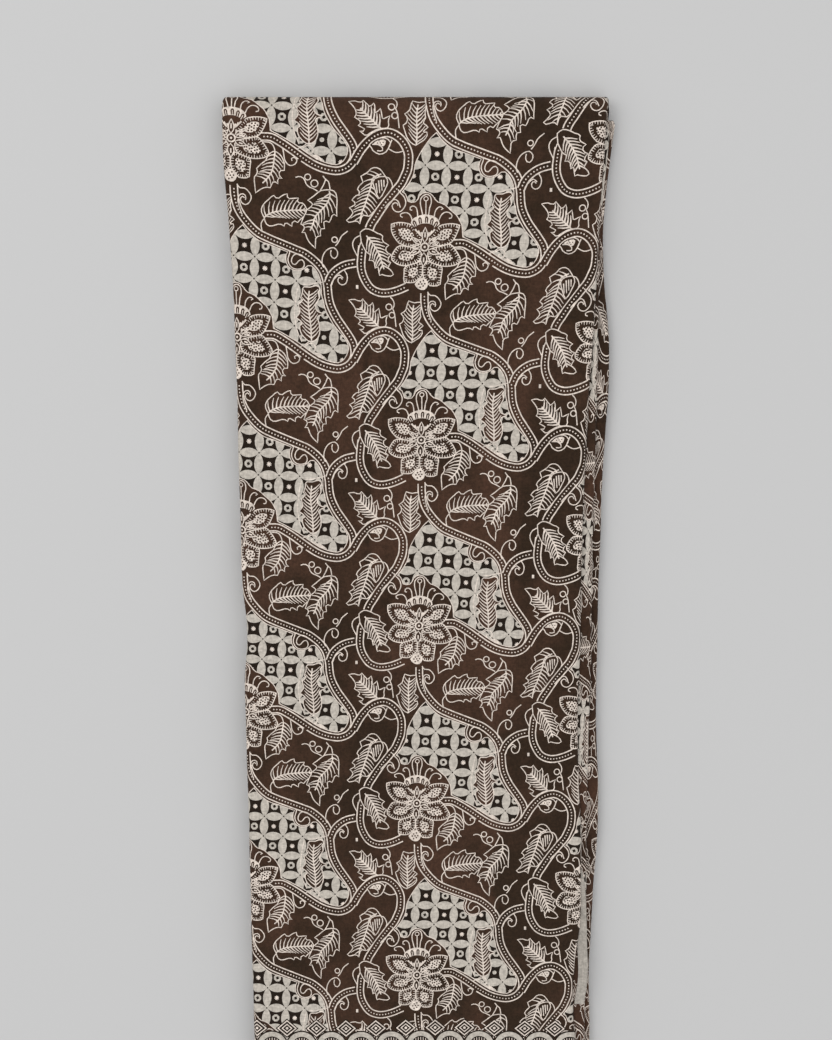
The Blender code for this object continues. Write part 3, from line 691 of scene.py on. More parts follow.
def draw_border(flip, low_x, high_x):
    """The border's own shapes over a stretch of cloth. Flip turns a height into its place."""
    start = len(drawing)

    def spot(x, y):
        """A place of the border in the chart that paint() scales."""
        x = x / CHART_WIDTH
        return (x, (flip(y) - CHART_TILT * x) / CHART_HEIGHT)

    def bar(y, half, ink):
        paint(BORDER_LEVEL, ink, [spot(low_x, y - half), spot(high_x, y - half),
                                  spot(high_x, y + half), spot(low_x, y + half)])

    bar(-285.5, 14.3, GROUND)
    first, last = math.floor(low_x / BORDER_PITCH) - 1, math.ceil(high_x / BORDER_PITCH) + 1
    centres = [2.05 + BORDER_PITCH * k for k in range(first, last)]
    for x in centres:
        for radius, ink in ((SCALLOP_OUTER + 0.9, DARK), (SCALLOP_OUTER, FILL_WAX)):
            half_round = [spot(x + radius * math.cos(a), SCALLOP_CENTRE + radius * math.sin(a))
                          for a in np.linspace(0, math.pi, 15)]
            paint(BORDER_LEVEL, ink, half_round)
    bar(-271.6, 0.9, FILL_WAX)
    for x in centres:
        heart = [spot(x + SCALLOP_INNER * math.cos(a), SCALLOP_CENTRE + SCALLOP_INNER * math.sin(a))
                 for a in np.linspace(0, math.pi, 13)]
        paint(BORDER_LEVEL, DARK, heart)
        for k in range(-3, 4):
            top = SCALLOP_CENTRE + 0.86 * math.sqrt(SCALLOP_INNER ** 2 - (1.5 * k) ** 2)
            stroke(BORDER_LEVEL, [spot(x + 1.5 * k, SCALLOP_CENTRE), spot(x + 1.5 * k, top)], 0.4)
    for x in centres:
        middle = x - BORDER_PITCH / 2
        for half_x, half_y, ink in ((6.9, 6.1, DARK), (5.9, 5.2, LINE_WAX), (4.9, 4.3, DARK),
                                    (3.3, 2.9, LINE_WAX), (2.4, 2.1, DARK)):
            paint(BORDER_LEVEL, ink, [spot(middle - half_x, -260.2), spot(middle, -260.2 - half_y),
                                      spot(middle + half_x, -260.2), spot(middle, -260.2 + half_y)])
        dot(BORDER_LEVEL, spot(middle, -260.2), 0.9, 6)
    for y in (-274.4, -279.4):
        bar(y, 0.42, LINE_WAX)
    for k in range(int(low_x / 4), int(high_x / 4)):
        dot(BORDER_LEVEL, spot(4.0 * k + 1.3, -276.9), 0.75, 6)
    shapes = drawing[start:]
    del drawing[start:]
    return [(ink, points, None) for _, ink, points, _ in shapes]


PRINT_ORIGIN = 208.5
END_Y, END_RADIUS = 281.5, 7.5
HALF_TURN = math.pi * END_RADIUS
WHOLE_LENGTH = 2 * END_Y + HALF_TURN


def border_strip(flip):
    """The printed cloth along one hem, in the print's own measure."""
    rows = sorted((flip(BORDER_START), flip(BORDER_END)))
    box = (-130.0, 125.0, rows[0], rows[1])
    shapes = copies_over(*box) + draw_border(flip, box[0] - 1, box[1] + 1)
    return inlay(shapes, box, (56, 12))


front_border = border_strip(lambda y: y - PRINT_ORIGIN)
back_border = border_strip(lambda y: WHOLE_LENGTH - y - PRINT_ORIGIN)


# Folding flat cloth.
# Every piece starts as flat printed cloth, (s, u) across and along, is trimmed and scored where
# it bends, and is then laid in place by a function that folds it.
def cut(cloth, line):
    """Split the triangles along the line where a function of (s, u) is zero."""
    points, faces, ink = cloth
    value = line(points[:, 0], points[:, 1])
    value = np.where(np.abs(value) < 1e-3, 0.0, value)
    side = np.sign(value)[faces]
    crossed = (side.min(axis=1) < 0) & (side.max(axis=1) > 0)
    if not crossed.any():
        return cloth
    split, side = faces[crossed], side[crossed]
    on_line = (side == 0).any(axis=1)
    lone = np.argmin(side * side.sum(axis=1, keepdims=True), axis=1)
    first = np.where(on_line, np.argmin(np.abs(side), axis=1), lone)
    split = np.take_along_axis(split, (first[:, None] + np.arange(3)) % 3, axis=1)
    a, b, c = split.T
    pairs = np.vstack([np.column_stack([np.where(on_line, b, a), np.where(on_line, c, b)]),
                       np.column_stack([a, c])[~on_line]])
    edges, place = np.unique(np.sort(pairs, axis=1), axis=0, return_inverse=True)
    place = place.ravel() + len(points)
    low, high = value[edges[:, 0]], value[edges[:, 1]]
    t = (low / (low - high))[:, None]
    new_points = points[edges[:, 0]] * (1 - t) + points[edges[:, 1]] * t
    p = place[:len(split)]
    q = np.zeros(len(split), dtype=int)
    q[~on_line] = place[len(split):]
    two, three = on_line, ~on_line
    parts = [np.column_stack([a, b, p])[two], np.column_stack([a, p, c])[two],
             np.column_stack([a, p, q])[three], np.column_stack([p, b, c])[three],
             np.column_stack([p, c, q])[three]]
    inks = ink[crossed]
    new_ink = [inks[two], inks[two], inks[three], inks[three], inks[three]]
    return (np.vstack([points, new_points]), np.vstack([faces[~crossed]] + parts),
            np.concatenate([ink[~crossed]] + new_ink))


def only(cloth, keep):
    """The cloth with only some of its triangles."""
    points, faces, ink = cloth
    used, faces = np.unique(faces[keep], return_inverse=True)
    return points[used], faces.reshape(-1, 3), ink[keep]


def trim(cloth, line):
    """Cut along a line and keep the side where the function is above zero."""
    points, faces, ink = cut(cloth, line)
    middle = points[faces].mean(axis=1)
    return only((points, faces, ink), line(middle[:, 0], middle[:, 1]) > 0)


def joined(cloths):
    """Several flat cloths as one, welded where their points meet."""
    counts = np.cumsum([0] + [len(points) for points, _, _ in cloths])
    points = np.vstack([cloth[0] for cloth in cloths])
    faces = np.vstack([cloth[1] + start for cloth, start in zip(cloths, counts)])
    ink = np.concatenate([cloth[2] for cloth in cloths])
    _, first, same = np.unique(np.floor(points * 250 + 0.317).astype(int), axis=0,
                               return_index=True, return_inverse=True)
    faces = same.ravel()[faces]
    whole = (faces[:, 0] != faces[:, 1]) & (faces[:, 1] != faces[:, 2]) & (faces[:, 0] != faces[:, 2])
    return points[first], faces[whole], ink[whole]


def field_cloth(low_p, high_p, low_q, high_q, phase=(0.0, 0.0), repeat=field):
    """Copies of the repeat over a box, in the print's own measure."""
    box = (low_p - phase[0], high_p - phase[0], low_q - phase[1], high_q - phase[1])
    copies = []
    for i in range(math.floor(box[0] / REPEAT_WIDTH), math.ceil(box[1] / REPEAT_WIDTH)):
        lift = 0.5 * (i % 2)
        for j in range(math.floor(box[2] / REPEAT_HEIGHT - lift), math.ceil(box[3] / REPEAT_HEIGHT - lift)):
            step = np.array([REPEAT_WIDTH * i + phase[0], REPEAT_HEIGHT * (j + lift) + phase[1]])
            copy = (repeat[0] + step, repeat[1], repeat[2])
            middle = copy[0][copy[1]].mean(axis=1)
            near = ((middle[:, 0] > low_p - 5) & (middle[:, 0] < high_p + 5)
                    & (middle[:, 1] > low_q - 5) & (middle[:, 1] < high_q + 5))
            if near.any():
                copies.append(only(copy, near))
    cloth = joined(copies)
    cloth = trim(cloth, lambda p, q: q - low_q)
    return trim(cloth, lambda p, q: high_q - q)


def soft_step(value):
    """From 0 to 1, level at both ends."""
    value = np.clip(value, 0.0, 1.0)
    return value * value * (3 - 2 * value)


def lean(u):
    """The print wanders a little to the right towards the fold end."""
    return -1.5 + 4.4 * ((np.minimum(u, END_Y) + 226) / 434) ** 2


def laid(cloth):
    """From the print's own measure to the cloth's: wider and a little askew towards the fold end,
    with the small drift of hand work."""
    (p, q), u = cloth[0].T, cloth[0][:, 1] + PRINT_ORIGIN
    wider = 1.01 + 0.07 * np.clip((u + 120) / 382, 0.0, 1.0) ** 2.2
    s = p * wider + lean(u) + 0.30 * np.sin(u / 17 + p / 31) + 0.22 * np.sin(u / 43 - p / 13 + 1)
    askew = -0.019 * p + 3.0 * (p / 100) ** 2 * soft_step((u - 40) / 160) - 0.9 * soft_step((u + 60) / 60)
    askew = askew * soft_step((END_Y + 60 - u) / 80) * soft_step((u + 262) / 60)
    u = u + askew + 0.28 * np.sin(p / 19 - u / 53 + 2) + 0.22 * np.sin(p / 37 + u / 11)
    return np.column_stack([s, u]), cloth[1], cloth[2]


def make_piece(name, cloth, place, material, rub_and_painted_light=None):
    """A piece of cloth from its flat shape and the function that lays it in place."""
    points, faces, ink = cloth
    s, u = points.T
    step = 0.02
    here = place(s, u)
    normal = np.cross(place(s + step, u) - place(s - step, u), place(s, u + step) - place(s, u - step))
    normal /= np.maximum(np.linalg.norm(normal, axis=1), 1e-12)[:, None]
    mesh = bpy.data.meshes.new(name)
    mesh.from_pydata((here / 1000).tolist(), [], faces.tolist())
    mesh.attributes.new("ink", "FLOAT", "FACE").data.foreach_set("value", ink.astype(np.float32))
    # per-point tone: wear with painted highlight on the ridges and painted shade in the creases and at the right
    # edge
    rubbed_tone_and_painted_light = np.zeros(len(points)) if rub_and_painted_light is None else rub_and_painted_light(here[:, 0], here[:, 1])
    mesh.attributes.new("rub_and_painted_light", "FLOAT", "POINT").data.foreach_set("value", rubbed_tone_and_painted_light.astype(np.float32))
    span = points.max(axis=0) - points.min(axis=0)
    flat = (points - points.min(axis=0)) / span
    mesh.uv_layers.new(name="OFBake").data.foreach_set("uv", flat[faces.ravel()].ravel().astype(np.float32))
    mesh.shade_smooth()
    mesh.normals_split_custom_set_from_vertices(normal.tolist())
    mesh.materials.append(material)
    piece = bpy.data.objects.new(name, mesh)
    scene.collection.objects.link(piece)
    return piece


# Batik cotton.
# The ink of each triangle chooses ground brown, cream wax line, greyer filled wax or dark. The
# ground is mottled like hand-dyed cloth, with a fine plain weave; it is lighter and redder along
# the ridges, partly from wear and partly painted highlight, and painted shade darkens the creases
# and the right edge.
def batik_material(name, ground, warm, line, fill, dark):
    """Printed cotton in five colours, linear RGB."""
    material = bpy.data.materials.new(name)
    material.use_nodes = True
    nodes, links = material.node_tree.nodes, material.node_tree.links
    shader = nodes["Principled BSDF"]

    def new(kind, **values):
        node = nodes.new(kind)
        for key, value in values.items():
            if hasattr(node, key):
                setattr(node, key, value)
            else:
                node.inputs[key.replace("_", " ")].default_value = value
        return node

    place = new("ShaderNodeTexCoord").outputs["Object"]

    def noise(scale, detail=3.0, stretch=(1.0, 1.0, 1.0)):
        mapping = new("ShaderNodeMapping")
        mapping.inputs["Scale"].default_value = stretch
        texture = new("ShaderNodeTexNoise", Scale=scale, Detail=detail)
        links.new(place, mapping.inputs["Vector"])
        links.new(mapping.outputs["Vector"], texture.inputs["Vector"])
        return texture.outputs["Fac"]

    def spread(value, low, high, to_low=0.0, to_high=1.0):
        node = new("ShaderNodeMapRange")
        links.new(value, node.inputs["Value"])
        for key, number in (("From Min", low), ("From Max", high), ("To Min", to_low), ("To Max", to_high)):
            node.inputs[key].default_value = number
        return node.outputs["Result"]

    def sums(first, second, operation="ADD"):
        node = new("ShaderNodeMath", operation=operation)
        for socket, value in zip(node.inputs, (first, second)):
            if isinstance(value, (int, float)):
                socket.default_value = value
            else:
                links.new(value, socket)
        return node.outputs[0]

    def mix(factor, first, second, blend="MIX"):
        node = new("ShaderNodeMix", data_type="RGBA", blend_type=blend)
        for socket, value in ((node.inputs[0], factor), (node.inputs[6], first), (node.inputs[7], second)):
            if isinstance(value, (int, float)):
                socket.default_value = value
            elif isinstance(value, tuple):
                socket.default_value = (*value, 1.0)
            else:
                links.new(value, socket)
        return node.outputs[2]

    ink = new("ShaderNodeAttribute", attribute_name="ink").outputs["Fac"]
    # the wear attribute: wear with painted light, lighter ridges partly painted highlight, darker creases and right
    # edge painted shade
    rubbed_tone_and_painted_light = new("ShaderNodeAttribute", attribute_name="rub_and_painted_light").outputs["Fac"]
    broad = noise(22.0, 2.0)
    blotch = noise(150.0, 4.0)
    grain = noise(1500.0, 2.0)
    speckle = noise(620.0, 3.0)
    warp_threads = noise(900.0, 1.0, (2.2, 0.25, 1.0))
    weft_threads = noise(900.0, 1.0, (0.25, 2.2, 1.0))
    # warmth takes in the painted highlight and painted shade of the wear attribute along with the mottling
    warmth = sums(sums(spread(broad, 0.35, 0.68), spread(blotch, 0.3, 0.75, -0.25, 0.25)), rubbed_tone_and_painted_light)
    brown = mix(warmth, ground, warm)
    faded = spread(blotch, 0.35, 0.7)
    cream = mix(faded, line, tuple(0.86 * c for c in line))
    filled = mix(spread(grain, 0.35, 0.65), fill, tuple(0.86 * c for c in fill))
    is_line = sums(ink, 0.5, "GREATER_THAN")
    is_fill = sums(ink, 1.5, "GREATER_THAN")
    is_dark = sums(ink, 2.5, "GREATER_THAN")
    colour = mix(is_dark, mix(is_fill, mix(is_line, brown, cream), filled), dark)
    threads = sums(sums(warp_threads, weft_threads), grain)
    shade = sums(spread(threads, 1.0, 2.0, 0.80, 1.20), spread(speckle, 0.3, 0.7, 0.80, 1.20), "MULTIPLY")
    tone = new("ShaderNodeCombineColor")
    for socket in tone.inputs[:3]:
        links.new(shade, socket)
    colour = mix(1.0, colour, tone.outputs["Color"], "MULTIPLY")
    links.new(colour, shader.inputs["Base Color"])
    links.new(spread(threads, 1.0, 2.0, 0.78, 0.92), shader.inputs["Roughness"])
    shader.inputs["Specular IOR Level"].default_value = 0.10
    shader.inputs["Sheen Weight"].default_value = 0.03
    shader.inputs["Sheen Roughness"].default_value = 0.5
    bump = new("ShaderNodeBump", Strength=0.35, Distance=0.00008)
    links.new(threads, bump.inputs["Height"])
    links.new(bump.outputs["Normal"], shader.inputs["Normal"])
    return material


batik = batik_material("sogan_batik_cotton", (0.0310, 0.0178, 0.0102), (0.066, 0.033, 0.0205),
                       (0.80, 0.70, 0.615), (0.575, 0.525, 0.46), (0.018, 0.0115, 0.0075))

# The outer cloth.
# The best side of the tube: flat on top, round the fold end and flat again underneath. On the
# left it folds under itself, on the right it rolls down over the lower folds.
LEFT_RADIUS, UNDER_RADIUS = 2.4, 2.1
ROLL_RADIUS, UNDER_ROLL = 3.0, 0.5
DROP, TURN_BACK = 0.1, 8.0
HEM_START, HEM_FOLD_Y, HEM_RADIUS, HEM_LIFT = -281.0, -288.35, 0.55, 0.25
# across, along, half width, half length and height of broad swells
SWELLS = ((-48, 60, 14, 120, -0.40), (22, -90, 24, 110, 0.40), (-78, -120, 20, 130, 0.30),
          (64, 40, 14, 150, -0.35), (74, -190, 12, 90, -0.35), (-10, 190, 30, 70, 0.30))
# across at the start and end, start and end along, half width, height of long soft creases
CREASES = ((-29.0, -30.5, 186, -46, 1.9, -0.34), (-25.0, -26.0, 170, -30, 2.2, 0.16),
           (-9.0, -9.4, 132, -76, 6.5, 0.20), (40.6, 43.2, 216, -190, 5.0, 0.20),
           (57.0, 52.0, 150, -60, 2.6, -0.20), (79.0, 74.0, 262, 120, 3.0, -0.18),
           (-78.0, -79.5, 160, 90, 5.0, 0.16), (-80.5, -84.0, -20, -240, 5.0, 0.18),
           (83.0, 84.5, 60, -230, 2.2, -0.16), (12.0, 18.0, -120, -215, 3.0, -0.12))


def curve_through(places, values):
    """A smooth function through measured values."""
    places, values = np.asarray(places, float), np.asarray(values, float)
    slopes = np.gradient(values, places)

    def at(place):
        place = np.clip(place, places[0], places[-1])
        k = np.clip(np.searchsorted(places, place) - 1, 0, len(places) - 2)
        span = places[k + 1] - places[k]
        t = (place - places[k]) / span
        return ((1 + 2 * t) * (1 - t) ** 2 * values[k] + t * (1 - t) ** 2 * span * slopes[k]
                + t * t * (3 - 2 * t) * values[k + 1] + t * t * (t - 1) * span * slopes[k + 1])
    return at


def edge_of(node, pick):
    """The line of a node's outermost points on one side, as a function of the place along it."""
    points = 1000 * np.array([vertex.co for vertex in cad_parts[node].data.vertices])
    places = np.unique(np.round(points[:, 1], 1))
    places = places[np.concatenate([[True], np.diff(places) > 4])]
    return curve_through(places, [pick(points[np.abs(points[:, 1] - y) < 0.3, 0]) for y in places])


left_line = edge_of("front_stretch", np.min)
front_solid_line = edge_of("front_stretch", np.max)
under_right_line = edge_of("back_stretch", np.max)
upper_line = edge_of("right_fold_upper", np.max)
lower_line = edge_of("right_fold_lower", np.max)


def front_line(y):
    """The front cloth's right edge, which rolls out a little further towards the hem."""
    return front_solid_line(y) + 4.6 * soft_step((-60 - y) / 90)


def wander(y, amount, start):
    """The small unevenness of a folded edge."""
    return amount * (0.6 * np.sin(y / 27 + start) + 0.3 * np.sin(y / 9.5 + 2 * start)
                     + 0.1 * np.sin(y / 4.1 + 3 * start))


def relief(x, y):
    """Height of the swells and creases of the top cloth."""
    total = np.zeros(np.broadcast(x, y).shape)
    for at_x, at_y, half_width, half_length, height in SWELLS:
        total = total + height * np.exp(-((x - at_x) / half_width) ** 2 - ((y - at_y) / half_length) ** 2)
    for x0, x1, y0, y1, half_width, height in CREASES:
        t = (y - y0) / (y1 - y0)
        middle = x0 + (x1 - x0) * t + 0.8 * np.sin(y / 31 + x0)
        along = soft_step(t / 0.18) * soft_step((1 - t) / 0.25)
        total = total + height * along * np.exp(-((x - middle) / half_width) ** 2)
    return total * soft_step((END_Y - y) / 40)


def outer_cloth(s, u, inward=0.0):
    """Where the outer cloth lies: s across it, u along it from the front hem over the fold end."""
    share = np.clip((u - END_Y) / HALF_TURN, 0.0, 1.0)
    turn = share * math.pi
    run = np.where(u <= END_Y, u, np.where(share < 1, END_Y + END_RADIUS * np.sin(turn), WHOLE_LENGTH - u))
    left = left_line(run) + wander(run, 0.25, 1.0) + 0.4 * share
    right = (front_line(run) + wander(run, 0.25, 2.0)) * (1 - share) + under_right_line(run) * share
    radius = LEFT_RADIUS + (UNDER_RADIUS - LEFT_RADIUS) * share
    roll = ROLL_RADIUS + (UNDER_ROLL - ROLL_RADIUS) * share
    a, b = left + radius, right - roll
    angle = np.clip((a - s) / radius, 0.0, math.pi)
    past = np.maximum(a - s - math.pi * radius, 0.0)
    x = np.where(s < a, a - (radius - inward) * np.sin(angle) + past, s)
    depth = np.where(s < a, radius - (radius - inward) * np.cos(angle), inward)
    angle = np.clip((s - b) / roll, 0.0, math.pi / 2)
    past = np.maximum(s - b - math.pi / 2 * roll, 0.0)
    x = np.where(s > b, b + (roll - inward) * np.sin(angle), x)
    depth = np.where(s > b, roll - (roll - inward) * np.cos(angle) + past, depth)
    fade = np.sin(math.pi * np.clip((s - a) / (b - a), 0.0, 1.0)) ** 0.5 * (1 - share)
    depth = depth - relief(x, run) * fade
    reach = END_RADIUS - depth
    y = np.where((share > 0) & (share < 1), END_Y + reach * np.sin(turn), run)
    return np.column_stack([x, y, END_RADIUS + reach * np.cos(turn)])


def left_limit(u):
    share = np.clip((u - END_Y) / HALF_TURN, 0.0, 1.0)
    run = np.where(u <= END_Y, u, np.where(share < 1, END_Y, WHOLE_LENGTH - u))
    radius = LEFT_RADIUS + (UNDER_RADIUS - LEFT_RADIUS) * share
    return left_line(run) + 0.4 * share + radius, radius


def right_limit(u):
    share = np.clip((u - END_Y) / HALF_TURN, 0.0, 1.0)
    run = np.where(u <= END_Y, u, np.where(share < 1, END_Y, WHOLE_LENGTH - u))
    roll = ROLL_RADIUS + (UNDER_ROLL - ROLL_RADIUS) * share
    return front_line(run) * (1 - share) + under_right_line(run) * share - roll, roll


def scored(cloth):
    """The outer cloth trimmed at both sides and scored along its side folds."""
    def left_of(share):
        return lambda s, u: s - (left_limit(u)[0] - share * math.pi * left_limit(u)[1])

    def right_of(share):
        return lambda s, u: right_limit(u)[0] + share * math.pi / 2 * right_limit(u)[1] - s

    cloth = trim(cloth, lambda s, u: left_of(1.0)(s, u) + TURN_BACK - LEFT_RADIUS)
    cloth = trim(cloth, lambda s, u: right_of(1.0)(s, u) + DROP)
    for share in (0.0, 0.17, 0.34, 0.5, 0.66, 0.83, 1.0):
        cloth = cut(cloth, left_of(share))
    for share in (0.0, 0.33, 0.66, 1.0):
        cloth = cut(cloth, right_of(share))
    return cloth


def rubbed_tone_and_painted_light(x, y):
    """Lighter along the ridges, partly from wear and partly painted highlight, and darker in the creases and towards
    the right edge, which is painted shade.
    """
    total = np.zeros(len(x))
    # streaks: across, start and end along, half width and amount; above zero lighter (wear and painted highlight),
    # below zero painted shade in a crease
    for at, low, high, half, amount in ((-9.0, -76, 132, 7.0, 0.55), (41.6, -76, 132, 6.0, 0.75),
                                        (42.0, -215, 235, 5.0, 0.35), (-29.8, -40, 180, 1.8, -0.7),
                                        (-25.5, -40, 180, 2.6, 0.4), (-78.5, 90, 165, 6.0, 0.5),
                                        (-82.5, -245, -20, 6.0, 0.5)):
        along = soft_step((y - low) / 40) * soft_step((high - y) / 40)
        total += amount * along * np.exp(-((x - at) / half) ** 2)
    # painted shade: darker towards the right edge, where the cloth rolls away from the light
    edge = np.interp(y, [-235, 99, 249], [38, 56, 79])
    total -= 0.45 * soft_step((x - edge) / 8)
    return total


def front_hemmed(s, u):
    over = np.maximum(HEM_FOLD_Y - u, 0.0)
    angle = np.minimum(over / HEM_RADIUS, math.pi)
    past = over - angle * HEM_RADIUS
    rise = HEM_LIFT * soft_step((HEM_START + 0.9 - u) / 1.8)
    run = np.maximum(u, HEM_FOLD_Y) - HEM_RADIUS * np.sin(angle) + past
    return outer_cloth(s, run, HEM_RADIUS * (1 - np.cos(angle)) - rise)


def back_hemmed(s, u):
    over = np.maximum(u - WHOLE_LENGTH + HEM_FOLD_Y, 0.0)
    angle = np.minimum(over / HEM_RADIUS, math.pi)
    past = over - angle * HEM_RADIUS
    run = np.minimum(u, WHOLE_LENGTH - HEM_FOLD_Y) + HEM_RADIUS * np.sin(angle) - past
    return outer_cloth(s, run, HEM_RADIUS * (1 - np.cos(angle)))


strips = joined([field_cloth(-130, 125, BORDER_START - PRINT_ORIGIN,
                             WHOLE_LENGTH - BORDER_START - PRINT_ORIGIN),
                 front_border, back_border])
outer = scored(laid(strips))
front_flat = trim(trim(outer, lambda s, u: END_Y - u), lambda s, u: u - HEM_START)
# the front cloth's tone carries wear, painted highlight on the ridges and painted shade in the creases and at the
# right edge
front_cloth = make_piece("front_cloth", front_flat, front_hemmed, batik, rubbed_tone_and_painted_light)
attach(front_cloth, "root")
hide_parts("front_stretch")

# The fold end.
# The same cloth going round the end of the stack.
end_flat = trim(trim(outer, lambda s, u: u - END_Y), lambda s, u: END_Y + HALF_TURN - u)
for share in (0.125, 0.25, 0.375, 0.5, 0.625, 0.75, 0.875):
    end_flat = cut(end_flat, lambda s, u, share=share: u - END_Y - share * HALF_TURN)
end_cloth = make_piece("end_cloth", end_flat, outer_cloth, batik)
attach(end_cloth, "root")
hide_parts("end_fold")

# The back.
# The stretch that the bundle lies on, flat underneath.
BACK_START, BACK_END = END_Y + HALF_TURN, WHOLE_LENGTH - HEM_START
back_flat = trim(trim(outer, lambda s, u: u - BACK_START), lambda s, u: BACK_END - u)
back_cloth = make_piece("back_cloth", back_flat, outer_cloth, batik)
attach(back_cloth, "root")
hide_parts("back_stretch")

# The lower folds on the right.
# Two more folds of the same tube stand out past the front cloth, so their print is in other
# places. Their ends are tucked in at the fold end.
def hairpin(edge, low, high, side, end_y=1000.0, corner=4.0):
    """A narrow fold: s is 0 on its edge, and the cloth goes back on both sides of it."""
    def place(s, u):
        closing = np.clip((u - end_y + corner) / corner, 0.0, 1.0)
        opening = np.sqrt(1 - closing ** 2)
        radius = (high - low) / 2 * (0.12 + 0.88 * opening)
        angle = np.clip(s / radius, -math.pi / 2, math.pi / 2)
        past = np.maximum(np.abs(s) - math.pi / 2 * radius, 0.0)
        tip = edge(u) - side * corner * 0.5 * (1 - opening)
        x = tip + side * (radius * np.cos(angle) - radius - past)
        return np.column_stack([x, u, (low + high) / 2 - side * radius * np.sin(angle)])
    return place


def fold_flat(radius, inner_top, inner_under, low_u, high_u, phase, corner=4.0, gather=1.0, repeat=field):
    """Flat printed cloth for a narrow fold, scored where it bends. Gather draws its print together."""
    cloth = field_cloth((-inner_top - 6) / gather, (inner_under + 6) / gather,
                        low_u - PRINT_ORIGIN - 4, high_u - PRINT_ORIGIN + 4, phase, repeat)
    cloth = laid((cloth[0] * [gather, 1.0], cloth[1], cloth[2]))
    for line in (lambda s, u: s + inner_top, lambda s, u: inner_under - s,
                 lambda s, u: u - low_u, lambda s, u: high_u - u):
        cloth = trim(cloth, line)
    for share in (-1.0, -0.66, -0.33, 0.0, 0.33, 0.66, 1.0):
        cloth = cut(cloth, lambda s, u, share=share: s - share * math.pi / 2 * radius)
    for share in (1.0, 0.6, 0.3, 0.1):
        cloth = cut(cloth, lambda s, u, share=share: u - high_u + share * corner)
    return cloth


def side_edge(line, amount, start):
    """An edge line with its small unevenness."""
    return lambda y: line(y) - abs(amount) + wander(y, amount, start)


FOLD_TOP_Y = 276.5
for name, node, line, low, high, hem_inset, phase, start in (
        ("upper_fold", "right_fold_upper", upper_line, 7.2, 11.1, 1.2, (-41.0, 23.0), 3.0),
        ("lower_fold", "right_fold_lower", lower_line, 3.2, 6.9, 2.6, (13.0, 71.0), 5.0)):
    flat = fold_flat((high - low) / 2, 19.0, 14.0, -289.0 + hem_inset, FOLD_TOP_Y, phase, gather=0.5)
    piece = make_piece(name, flat, hairpin(side_edge(line, 0.4, start), low, high, 1, FOLD_TOP_Y), batik)
    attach(piece, "root")
    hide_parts(node)

# The selvedge.
# The unprinted allowance of the tube's one seam, which peeps out beside the front cloth.
def plain_cloth(low_s, high_s, low_u, high_u, columns, rows):
    """Flat unprinted cloth as a grid."""
    s, u = np.meshgrid(np.linspace(low_s, high_s, columns + 1), np.linspace(low_u, high_u, rows + 1))
    corner = (np.arange(rows)[:, None] * (columns + 1) + np.arange(columns)).ravel()
    faces = np.vstack([np.column_stack([corner, corner + 1, corner + columns + 2]),
                       np.column_stack([corner, corner + columns + 2, corner + columns + 1])])
    return np.column_stack([s.ravel(), u.ravel()]), faces, np.full(len(faces), LINE_WAX)


selvedge_line = edge_of("selvedge", np.max)
unprinted = batik_material("unprinted_cotton", (0.40, 0.37, 0.33), (0.43, 0.39, 0.35),
                           (0.44, 0.405, 0.36), (0.40, 0.37, 0.33), (0.3, 0.27, 0.24))
selvedge = make_piece("selvedge_strip", plain_cloth(-6.0, 5.0, -246.0, -150.0, 22, 64),
                      hairpin(lambda y: selvedge_line(y) + 0.5 + wander(y, 0.3, 4.0)
                              - 1.8 * soft_step((y + 215) / 60), 11.2, 11.75, 1, -146.0, 26.0), unprinted)
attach(selvedge, "root")
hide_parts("selvedge")

# The inner layers.
# Only their edges show: narrow folds on the left, the folds inside the two on the right, and a
# stack of turned hems at the open end. They are one piece of the same cloth.
inner_pieces = []
for low, high, inset, low_u, phase, start in (
        (4.5, 5.9, 1.5, -286.6, (7.0, 40.0), 1.0), (5.9, 7.3, 0.9, -287.2, (-55.0, 12.0), 2.3),
        (7.3, 8.6, 2.1, -286.2, (31.0, 90.0), 3.9), (8.6, 10.0, 1.3, -287.6, (-22.0, 64.0), 5.2)):
    flat = fold_flat((high - low) / 2, 4.8, 4.8, low_u, 280.5, phase, repeat=inner_field)

    def edge(y, inset=inset, start=start):
        return left_line(y) + inset + wander(y, 0.45, start)
    inner_pieces.append(make_piece("left_layer", flat, hairpin(edge, low, high, -1, 280.5), batik))
for line, low, high, phase in ((upper_line, 8.3, 10.1, (60.0, 33.0)), (lower_line, 4.2, 6.0, (-70.0, 55.0))):
    flat = fold_flat((high - low) / 2, 8.5, 8.5, -285.5, FOLD_TOP_Y - 5, phase, repeat=inner_field)

    def edge(y, line=line):
        return line(y) - 2.2 + wander(y, 0.4, low)
    inner_pieces.append(make_piece("right_layer", flat, hairpin(edge, low, high, 1, FOLD_TOP_Y - 5), batik))


def hem_layer(low, high, end_y, start):
    """A turned hem inside the stack: u is 0 on its edge, and the cloth goes back both ways."""
    radius = (high - low) / 2

    def place(s, u):
        angle = np.clip(u / radius, -math.pi / 2, math.pi / 2)
        past = np.maximum(np.abs(u) - math.pi / 2 * radius, 0.0)
        y = end_y + wander(s * 1.7, 0.35, start) + radius - radius * np.cos(angle) + past
        sag = 0.12 * np.sin(s / 23 + start) + 0.06 * np.sin(s / 7 + 2 * start)
        return np.column_stack([s, y, (low + high) / 2 + sag + radius * np.sin(angle)])
    return place


